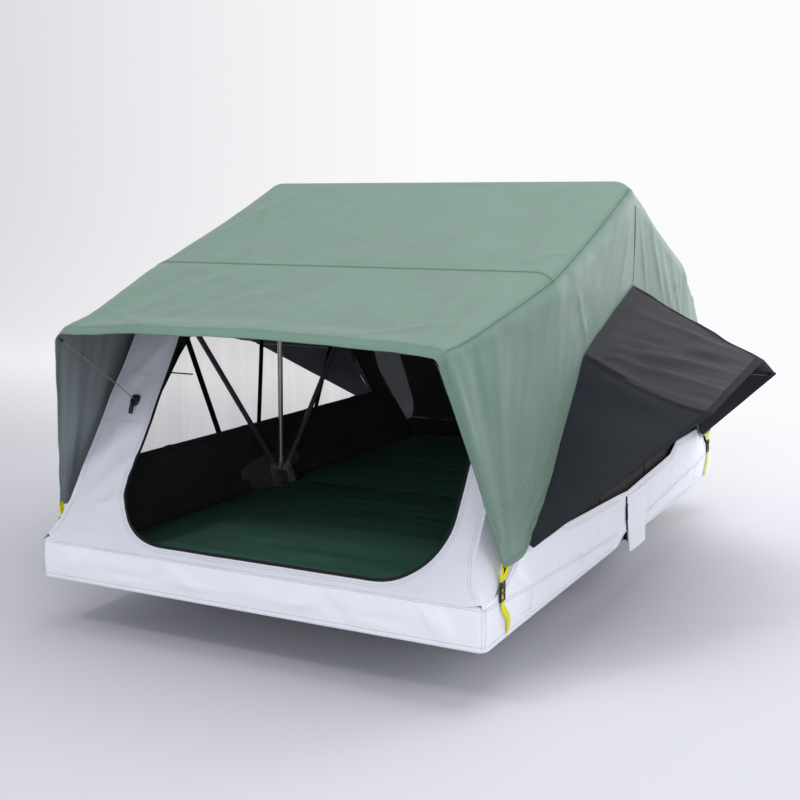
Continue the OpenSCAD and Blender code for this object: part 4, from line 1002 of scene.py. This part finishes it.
def hood_outer(t):
    """Free edge of the right hood: out along the rods, with a bow between them."""
    a = np.abs(t)
    u = np.where(a < HOOD_KNEE, 1, (1 - a) / (1 - HOOD_KNEE))
    rise = np.where(a < HOOD_KNEE, 1 - a / HOOD_KNEE, 0)
    foot = hood_inner(1.0)
    y = np.where(a < HOOD_KNEE, HOOD_Y * a / HOOD_KNEE, foot[1] + (HOOD_Y - foot[1]) * u)
    z = foot[2] + (HOOD_Z - foot[2]) * u + HOOD_ARCH * rise - .006 * (1 - u)
    x = foot[0] + .008 + (HOOD_X - foot[0] - .008) * u + HOOD_BOW * rise
    return points(x, np.where(t < 0, -y, y), z)


# Fan of folds: where each ends on the free edge, and its height
HOOD_FAN_ENDS = ((-.45, .58, .008), (-.39, .595, -.006), (-.32, .61, .009), (-.24, .63, -.006),
                 (-.17, .645, .008), (-.10, .66, -.005), (-.05, .67, .005))
HOOD_FAN = mirrored(
    [((.715, -.47 + .02 * k, .70 + .006 * k), (1.07, y, z), .016, h)
     for k, (y, z, h) in enumerate(HOOD_FAN_ENDS)]
    + [((.72, -.30, .77), (1.05, -.12, .66), .020, -.005), ((.72, -.16, .83), (1.03, -.04, .69), .016, .005),
       ((.74, -.50, .66), (.98, -.52, .54), .018, .003), ((.72, -.74, .40), (.86, -.66, .42), .014, .003)], 1)


def hood_shape(t, v, lift=0.0):
    """The right hood with its folds: t along it, v from the flysheet out; and the outward directions."""
    a, b = hood_inner(t), hood_outer(t)
    p = a + (b - a) * v[..., None]
    k = np.abs(t) / HOOD_KNEE
    sag = 0.005 * bell(np.minimum(1, k)) + 0.020 * np.exp(-((k - 1) / .30) ** 2)
    p[..., 2] -= bell(v) * (sag + 0.006 * np.exp(-(k / .12) ** 2))
    n = normals(p)
    n *= np.where(n[..., 2] + 0.2 * n[..., 0] < 0, -1, 1)[..., None]
    tie = smooth(v / .08) * (0.35 + 0.65 * smooth((1 - v) / .1))
    x, y = p[..., 0], p[..., 1]
    angle = np.arctan2(x - .68, np.abs(np.abs(y) - SHOULDER_Y) + .02)
    fan = noise(points(angle * 14, x * 3, np.sign(y) * 4), 1.0) * .0035 * (np.abs(t) < HOOD_KNEE)
    h = (folds(p, HOOD_FAN) + fan + 0.002 * noise(p, .10) + 0.0010 * noise(p, .035, 4.0)) * tie
    return p + n * (h + lift)[..., None], n


ROD_R, ROD_Y = .0025, .475
ROD_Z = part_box("hood_rods_right")[0][2] + ROD_R


def make_hood(side):
    name = "hood_" + SIDE_NAME[side]
    turn = np.array([side, 1, 1])
    ts = joined((-HOOD_END, -HOOD_KNEE, 46), (-HOOD_KNEE, HOOD_KNEE, 111), (HOOD_KNEE, HOOD_END, 46))
    t, v = crossed(ts, np.linspace(0, 1, 46))
    p, n = hood_shape(t, v)
    gusset = np.abs(t[:-1, :-1] + t[1:, :-1]) / 2 > HOOD_KNEE
    g, hem, thread, rods = Geo(), Geo(), Geo(), Geo()
    # the gussets and the whole underside take the darker copy of the cloth, painted shade
    g.cloth(p * turn, 0.0013, back=1, face=n * turn, out=n * turn, front_where=gusset)
    cloth = piece(name + "_cloth", g, [HOOD, HOOD_PAINTED_SHADE], "hood_fabric", name, body=name)

    def band(t, v, lift, columns):
        b, m = hood_shape(t, v, lift)
        hem.cloth(b * turn, HEM_T, face=m * turn)
        for k in columns:
            thread.dashes(b[:, k] * turn, m[:, k] * turn)
    band(*crossed(np.linspace(-HOOD_END, HOOD_END, 200), 1 - np.linspace(0, .05, 5)), .0010, (1, 4))
    v, across = crossed(np.linspace(.02, .97, 70), np.linspace(-.008, .008, 5))
    for mid in (-HOOD_KNEE, 0, HOOD_KNEE):
        band(mid + across, v, .0009, (0, 4))
    trim = [piece(name + "_hems", hem, [HOOD_HEM], "hood_fabric", body=name),
            piece(name + "_stitches", thread, [BLACK_THREAD], "hood_fabric", body=name)]
    rod_node = "hood_rods_" + SIDE_NAME[side]
    for y in (-ROD_Y, ROD_Y):
        rods.tube(points(side * np.linspace(.6842, 1.045, 20), y, ROD_Z), ROD_R)
        tip = side * np.array([1.036, 1.038, 1.048, 1.052])
        rods.tube(points(tip, y, ROD_Z), [.0028, .0040, .0040, .0026], 1, sides=12)
    rods.tube(points(side * .6858, np.linspace(-.06, .06, 16), .875), .0014, 1)
    piece(name + "_rods", rods, [DARK_TUBE, PLASTIC], "dark_tube", rod_node, body=name)


# Canopy rods and their sockets
def make_canopy_rods():
    # radius and height of each ring of a socket
    profile = ((.0015, .003), (.0145, .003), (.0145, .006), (.0115, .008), (.0110, .0125), (.0080, .0138),
               (.0045, .0130), (.0015, .0124))
    t = np.linspace(0, 1, 24)
    a = np.linspace(0, 2 * np.pi, 28, endpoint=False)
    across, along = [np.sign(wave) * np.abs(wave) ** 0.6 for wave in (np.cos(a), np.sin(a))]
    s = np.linspace(-.002, .045, 12)
    loop_up = .0052 + .006 * bell((s + .002) / .047)
    rods, socks = Geo(), Geo()
    for end in (-1, 1):
        for side, x in SOCKET_X.items():
            foot = wall_point(x, SOCKET_S, .0136, end)
            tip = np.array([side * .576, end * 1.230, .759])
            path = foot + (tip - foot) * t[:, None]
            path[:, 2] += 0.004 * bell(t)
            rods.tube(path, .0020)
            d = unit(tip - foot)
            rods.tube([tip - d * .012, tip - d * .002, tip + d * .001], [.0032, .0032, .0022], 1, sides=10)
            rings = [wall_point(x + r * across, SOCKET_S + 1.25 * r * along, up, end) for r, up in profile]
            socks.grid(np.stack(rings, 1), wrap=True, flip=end > 0)
            for k in (-.004, .004):
                loop = [wall_point(x + k + w, SOCKET_S - s, loop_up, end) for w in (-.003, .003)]
                socks.cloth(np.stack(loop, 1), TAPE_T, 1, flip=end > 0)
    piece("canopy_rod_set", rods, [STEEL_ROD, PLASTIC], "bright_steel", "canopy_rods")
    piece("rod_socket_set", socks, [PLASTIC, BLACK_TAPE], "black_plastic", "rod_sockets")


# Skirts, slit flaps and zips
SKIRT_TOP = {
    -1: ([0, .12, .60, .67, .97, 1.04, 1.09, 1.13, FOOT_Y],
         [.214, .221, .241, .260, .258, .214, .186, .176, .168]),
    1: ([0, .12, .53, .62, .97, 1.04, 1.09, 1.13, FOOT_Y],
        [.214, .221, .242, .278, .276, .224, .190, .182, .177])}


def skirt_top(y, end):
    return np.interp(y, *SKIRT_TOP[end])


def seam_z(y):
    """Height of the seam round the skirt at a distance from the fold line."""
    return np.interp(y, [0, .1, .6, .85, 1.15, 1.2], [.094, .096, .122, .137, .157, .160])


def skirt_path():
    """Half of the skirt's plan, from the right end round to the left: points and outward directions."""
    a = np.linspace(0, np.pi / 2, 16)
    bend_x, bend_y, bend = SKIRT_X - SKIRT_R, SKIRT_Y - SKIRT_R, points(np.cos(a), np.sin(a))
    y = np.linspace(.0005, bend_y, 116)[:-1]
    x = np.linspace(bend_x, -bend_x, 130)[1:-1]
    right = np.concatenate([points(SKIRT_X, y), np.array([bend_x, bend_y]) + SKIRT_R * bend])
    right_out = np.concatenate([np.tile([1.0, 0], (len(y), 1)), bend])
    path = np.concatenate([right, points(x, SKIRT_Y), right[::-1] * [-1, 1]])
    out = np.concatenate([right_out, np.tile([0, 1.0], (len(x), 1)), right_out[::-1] * [-1, 1]])
    return path, out


# Folds of the right side's front half and of the front, with their mirror images
SKIRT_LINES = mirrored(mirrored([
    ((.70, -1.08, .26), (.70, -.84, .10), .016, .006), ((.70, -.80, .25), (.70, -.62, .09), .018, -.004),
    ((.70, -.60, .23), (.70, -.42, .08), .018, .006), ((.70, -.36, .22), (.70, -.22, .08), .016, .005),
    ((.70, -.16, .21), (.70, -.05, .07), .012, .006), ((.68, -1.18, .17), (.69, -1.16, .07), .010, .004),
    ((.70, -.95, .25), (.70, -.60, .20), .014, .005), ((.70, -.55, .23), (.70, -.16, .19), .012, .004),
    ((.70, -.72, .17), (.70, -.40, .14), .016, .005), ((.70, -.90, .09), (.70, -.50, .07), .014, .004),
    ((.30, -1.2, .17), (.10, -1.2, .06), .020, .004), ((-.20, -1.2, .17), (-.34, -1.2, .06), .020, -.004),
    ((-.52, -1.2, .165), (-.60, -1.2, .06), .014, .006), ((.56, -1.2, .165), (.62, -1.2, .06), .014, .006),
    ((-.05, -1.2, .10), (-.45, -1.2, .085), .014, .004), ((.50, -1.2, .10), (.10, -1.2, .085), .014, -.004)],
    1), 0)


def skirt_shape(end, share, lift=0.0):
    """Rows at shares of the skirt's height; below 0 they lie under the frame, above 1 they turn in."""
    path, out = skirt_path()
    y = path[:, 1]
    top = skirt_top(y, end)
    side = np.abs(out[:, 0]) > 0.99
    low = HEM_Z + 0.003 + np.where(side & (end < 0), .030 * smooth((.13 - y) / .11), 0)
    turn = np.where(np.abs(out[:, 1]) > .99, .008, .004 + .014 * smooth((y - 1.0) / .08))
    rows = []
    for k in share:
        if k > 1:
            inset, z = turn * (k - 1), top + .005 * (k - 1)
        elif k < 0:
            inset, z = np.full(len(y), -.018 * k), low - .003 * min(1, -k * 4)
        else:
            inset, z = np.zeros(len(y)), low + (top - low) * k
        rows.append(points(*(path - out * inset[:, None]).T, z))
    p = np.stack(rows, 1) * [1, end, 1]
    n = np.repeat(points(out[:, 0], end * out[:, 1], 0)[:, None], len(share), 1)
    body = bell(np.asarray(share)) ** 0.7
    h = folds(p, SKIRT_LINES) + .0016 * noise(p, .09) + .0009 * noise(p, .035, 1.7) + .0025 * body
    h = np.maximum(h, -.0015) * (0.25 + 0.75 * body)
    # the slack stops under the slit's flap, which lies on the skirt
    flap_y = .24
    covered = (np.abs(p[..., 0]) > .69) * smooth((flap_y - np.abs(p[..., 1])) / .04)
    h = h * (1 - covered * 0.95)
    return p + n * (h + lift)[..., None], n


def make_skirt(end):
    name = END_NAME[end]
    in_base = dict(body=name + "_base", squash="base")
    share = np.concatenate([[-1, -.7, -.4, -.15, -.03], np.linspace(0, 1, 22), [1.3, 2]])
    p, n = skirt_shape(end, share)
    x, y = np.abs(p[:-1, :-1, 0]), np.abs(p[:-1, :-1, 1])
    # the inside face is dark cloth, except near the top of the front corners, where it is pale skirt grey:
    # painted light, so the gap beside the end wall there does not read as a dark wedge
    dark = (share[:-1] < .8) | (y < 1.0) | (x < .66) | (end > 0)
    g, trim, thread = Geo(), Geo(), Geo()
    g.cloth(p, face=n, back_where=dark)
    cloth = piece(name + "_skirt_cloth", g, [SKIRT, SIDE_OUT], "grey_fabric", name + "_skirt", **in_base)
    hem, _ = skirt_shape(end, [0.02], .0002)
    trim.tube(hem[:, 0], .0024)
    path, _ = skirt_path()
    reach = path[:, 1]
    rows, out = skirt_shape(end, np.linspace(0.02, 0.98, 97))
    out = out[:, 0]
    proud = out * 2 * STITCH_OFF

    def sew(height, keep):
        """A row of stitches round the skirt at the given heights."""
        i = np.argmin(np.abs(rows[..., 2] - height[:, None]), axis=1)
        q = rows[np.arange(len(path)), i]
        q[:, 2] = height
        where = np.flatnonzero(keep)
        for run in np.split(where, np.flatnonzero(np.diff(where) > 1) + 1):
            if len(run) > 2:
                thread.dashes((q + proud)[run], out[run])
    for up in (0, .007):
        sew(seam_z(reach) + up, reach > .10)
        sew(skirt_top(reach, end) - .008 - up, (reach > .10) & (reach < 1.10))
    sew(np.full(len(path), HEM_Z + .016), reach > .16)
    for side in (-1, 1):
        z = np.linspace(.06, .168, 20)
        for off in (-.004, .004):
            a = np.pi / 4 + off / SKIRT_R
            r = SKIRT_R + .0035
            n = np.array([side * math.cos(a), end * math.sin(a), 0])
            line = points(side * (SKIRT_X - SKIRT_R), end * (SKIRT_Y - SKIRT_R), z) + n * r
            thread.dashes(line, np.tile(n, (20, 1)))
        # stitched patch behind the tail of the corner strap
        low, high, level = 4, 40, 12
        other_side = path[:, 0] * side < 0
        far, near = [np.argmin(np.where(other_side, np.inf, np.abs(reach - y))) for y in (.96, .89)]
        thread.dashes(rows[near, low:high] + proud[near], np.tile(out[near], (high - low, 1)))
        run = slice(min(far, near), max(far, near) + 1)
        thread.dashes(rows[run, level] + proud[run], out[run])
    sewn = [piece(name + "_skirt_piping", trim, [GREY_HEM], "grey_fabric", **in_base),
            piece(name + "_skirt_stitches", thread, [GREY_THREAD], "grey_fabric", **in_base)]


def make_slits():
    in_base = dict(body="rear_base", squash="base")
    low, high = .008, .206
    # place across the zip's tape, and height off the skirt
    profile = ((-.0045, 0), (-.0015, .0004), (-.0008, .0022), (.0008, .0022), (.0015, .0004), (.0045, 0))
    flaps, tape = Geo(), Geo()
    for side in (-1, 1):
        u, v = crossed(np.linspace(0, 1, 40), np.linspace(0, 1, 30))
        z = low + (high - low) * v
        left = -.020 + .048 * (1 - v) ** 1.5
        y = left + (.208 - left) * u
        x = .7030 + (.0016 * noise(points(y, z, z), .05) + .0035 * bell(u) * (1 - v)) * (1 - v) ** 0.5
        p = points(side * x, y, z)
        flaps.cloth(p, face=(side, 0, 0))
        z = np.linspace(.050, high, 50)
        run = -.030 + .040 * np.clip((high - z) / (high - low), 0, 1) ** 1.5 + .0022 * np.sin(z * 75)
        q = np.stack([points(side * (.7016 + up), run + w, z) for w, up in profile], 1)
        tape.cloth(q, TAPE_T, face=(side, 0, 0))
    flap = piece("slit_flap_pair", flaps, [SKIRT], "grey_fabric", "slit_flaps", **in_base)
    piece("slit_zip_pair", tape, [BLACK_TAPE], "black_zip", "slit_zips", **in_base)
    axes = ((0, 1, 0), (1, 0, 0), (0, 0, 1))
    pull_y, pull_z, tail = -.029, .166, .046
    for side, name in SIDE_NAME.items():
        g = Geo()
        g.box((side * .7050, pull_y, pull_z + .007), (.0050, .0018, .0085), axes, 0, .5)
        g.box((side * .7058, pull_y, pull_z - .0025), (.0022, .0012, .004), axes, 0, .5)
        down = np.linspace(.001, tail, 20)
        x = side * (.7060 + .0012 * bell(down / tail))
        y = pull_y + .003 * np.sin(down * 60)
        q = np.stack([points(x, y + w, pull_z - down) for w in (-.0040, -.0014, .0014, .0040)], 1)
        g.cloth(q, TAPE_T, 1, face=(side, 0, 0))
        piece("zip_pull_" + name + "_tab", g, [PLASTIC, BLACK_TAPE], "black_plastic", "zip_pull_" + name,
              "zip_" + name, "base")


# Corner straps and buckles
def ribbon(g, path, wide, out):
    """A flat strap along a path, with its width square to the path and the outward direction."""
    w = unit(np.cross(out, unit(np.gradient(path, axis=0)))) * wide
    g.cloth(np.stack([path + w * k for k in (-1 / 2, -1 / 6, 1 / 6, 1 / 2)], 1), face=out)


def make_straps(end):
    name = END_NAME[end]
    straps, buckles = Geo(), Geo()
    across = ((1, 0, 0), (0, 0, 1), (0, 1, 0))
    y = end * 1.102
    for side in (-1, 1):
        out = (side, 0, 0)
        x = side * .7040
        t = np.linspace(0, 1, 10)
        for far, near in ((.004, .003), (-.056, -.004)):
            path = points(x + side * .0034 * (1 - t), y + end * (far + (near - far) * t), .259 - .052 * t)
            ribbon(straps, path, .016, out)
        ribbon(straps, points(x + side * .0008, y, .214 - .050 * np.linspace(0, 1, 8)), .018, out)
        t = np.linspace(0, 1, 30)
        sway = .050 * smooth((t - .15) / .85) - .008 * np.sin(t * 9) * t
        ribbon(straps, points(x + side * (.001 + .006 * bell(t)), y - end * sway, .170 - .100 * t), .018, out)
        c = np.array([side * .7052, y, .186])
        for dy in (-.0120, .0120):
            buckles.box(c + [0, dy, 0], (.0028, .0034, .0250), bevel=.6)
        for dz in (-.0220, -.004, .010, .0220):
            buckles.box(c + [side * .0008, 0, dz], (.0030, .0030, .0118), across, bevel=.6)
        buckles.box(c + [side * .0016, 0, .016], (.0020, .0100, .0060), bevel=.6)
    in_base = dict(body=name + "_base", squash="base")
    piece(name + "_strap_webbing", straps, [WEBBING], "yellow_webbing", name + "_straps", **in_base)
    piece(name + "_ladder_buckles", buckles, [PLASTIC], "black_plastic", name + "_buckles", **in_base)


# Mattress, with the folds of its front half
MATTRESS_LINES = [
    ((-.55, -.98, .13), (.50, -1.02, .13), .016, .006), ((-.50, -.86, .13), (.45, -.84, .13), .020, -.004),
    ((-.58, -.72, .13), (.30, -.76, .13), .016, .006), ((-.30, -.62, .13), (.55, -.60, .13), .020, .005),
    ((-.56, -.50, .13), (.40, -.47, .13), .016, .005), ((-.40, -.36, .13), (.55, -.34, .13), .020, -.004),
    ((-.55, -.22, .13), (.20, -.25, .13), .016, .005), ((.60, -1.08, .13), (.20, -.92, .13), .014, .006),
    ((.60, -.96, .13), (.34, -.70, .13), .014, .006), ((-.60, -1.08, .13), (-.30, -.94, .13), .014, .006),
    ((.58, -1.02, .13), (.40, -.78, .13), .012, -.005), ((-.52, -.64, .13), (-.10, -.68, .13), .012, .005)]
SWELL = dict(quality=4, mass=0.4, use_pressure=True, uniform_pressure_force=4.0, tension_stiffness=25,
             compression_stiffness=12, shear_stiffness=8, bending_stiffness=2.0)
SWELL_FRAMES, SWELL_MOST = 20, .006


def swollen(obj, co, foot_z):
    """Vertices of a pad after its cloth is blown up by the pressure inside it."""
    scene = bpy.context.scene
    mod = obj.modifiers.new("Cloth", "CLOTH")
    for key, value in SWELL.items():
        setattr(mod.settings, key, value)
    mod.settings.effector_weights.gravity = 0
    mod.point_cache.frame_end = SWELL_FRAMES
    for f in range(1, SWELL_FRAMES + 1):
        scene.frame_set(f)
    deps = bpy.context.evaluated_depsgraph_get()
    move = np.array([w.co for w in obj.evaluated_get(deps).data.vertices]) - co
    obj.modifiers.remove(mod)
    scene.frame_set(1)
    size = np.linalg.norm(move, axis=1, keepdims=True)
    move *= np.minimum(1, SWELL_MOST / np.maximum(size, 1e-9))
    move[:, 2] = np.where(co[:, 2] < foot_z + .002, 0, move[:, 2])
    # the halves only just meet at the fold line
    move[np.abs(co[:, 1]) < .02, 1] *= 0.2
    return co + move


def make_mattress(end):
    name = END_NAME[end]
    y0, y1, z0, tall = .0012, 1.138, .0785, .0600
    u, v = crossed(*[np.sin(np.linspace(-np.pi / 2, np.pi / 2, n)) for n in (92, 82)])
    y = (y0 + y1) / 2 + (y1 - y0) / 2 * v
    x = u * (np.interp(y, [.062, .152], [.5845, .630]) - .008 * (1 - v * v))
    rim = np.maximum(np.abs(u) ** 12, np.where(v < 0, 0.2, 1.0) * np.abs(v) ** 12)
    top = points(x, end * y, z0 + tall - .008 * (u * u + v * v) / 2 - .24 * tall * rim)
    foot = points(x, end * y, z0)
    g = Geo()
    flip = end < 0
    g.grid(top, flip=flip)
    g.grid(foot, flip=not flip)
    for a, b, turn in ((top[:, 0], foot[:, 0], True), (top[:, -1], foot[:, -1], False),
                       (top[0], foot[0], False), (top[-1], foot[-1], True)):
        g.grid(between(a, b, np.linspace(0, 1, 5)), flip=turn != flip)
    obj = new_object(name + "_mattress_pad", g, [MATTRESS])
    bm = bmesh.new()
    bm.from_mesh(obj.data)
    bmesh.ops.remove_doubles(bm, verts=bm.verts, dist=0.0002)
    bmesh.ops.recalc_face_normals(bm, faces=bm.faces)
    bm.to_mesh(obj.data)
    bm.free()
    co = np.array([w.co for w in obj.data.vertices])
    co = swollen(obj, co, z0)
    up = smooth((co[:, 2] - z0 - .030) / .012)
    h = folds(co, turned(MATTRESS_LINES, (1, -end, 1))) - .001
    h += .002 * noise(co, (.22, .07, .2)) + .001 * noise(co, (.08, .035, .1), 2.0)
    co[:, 2] = np.maximum(co[:, 2] + up * h, z0)
    obj.data.vertices.foreach_set("co", co.ravel())
    obj.data.update()
    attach(obj, name + "_base")
    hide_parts(name + "_mattress")


make_fly()
for which in (-1, 1):
    make_end_wall(which)
    make_side_wall(which)
    make_hood(which)
    make_skirt(which)
    make_straps(which)
    make_mattress(which)
make_rear_door()
make_front_roll()
make_windows()
make_canopy_rods()
make_slits()
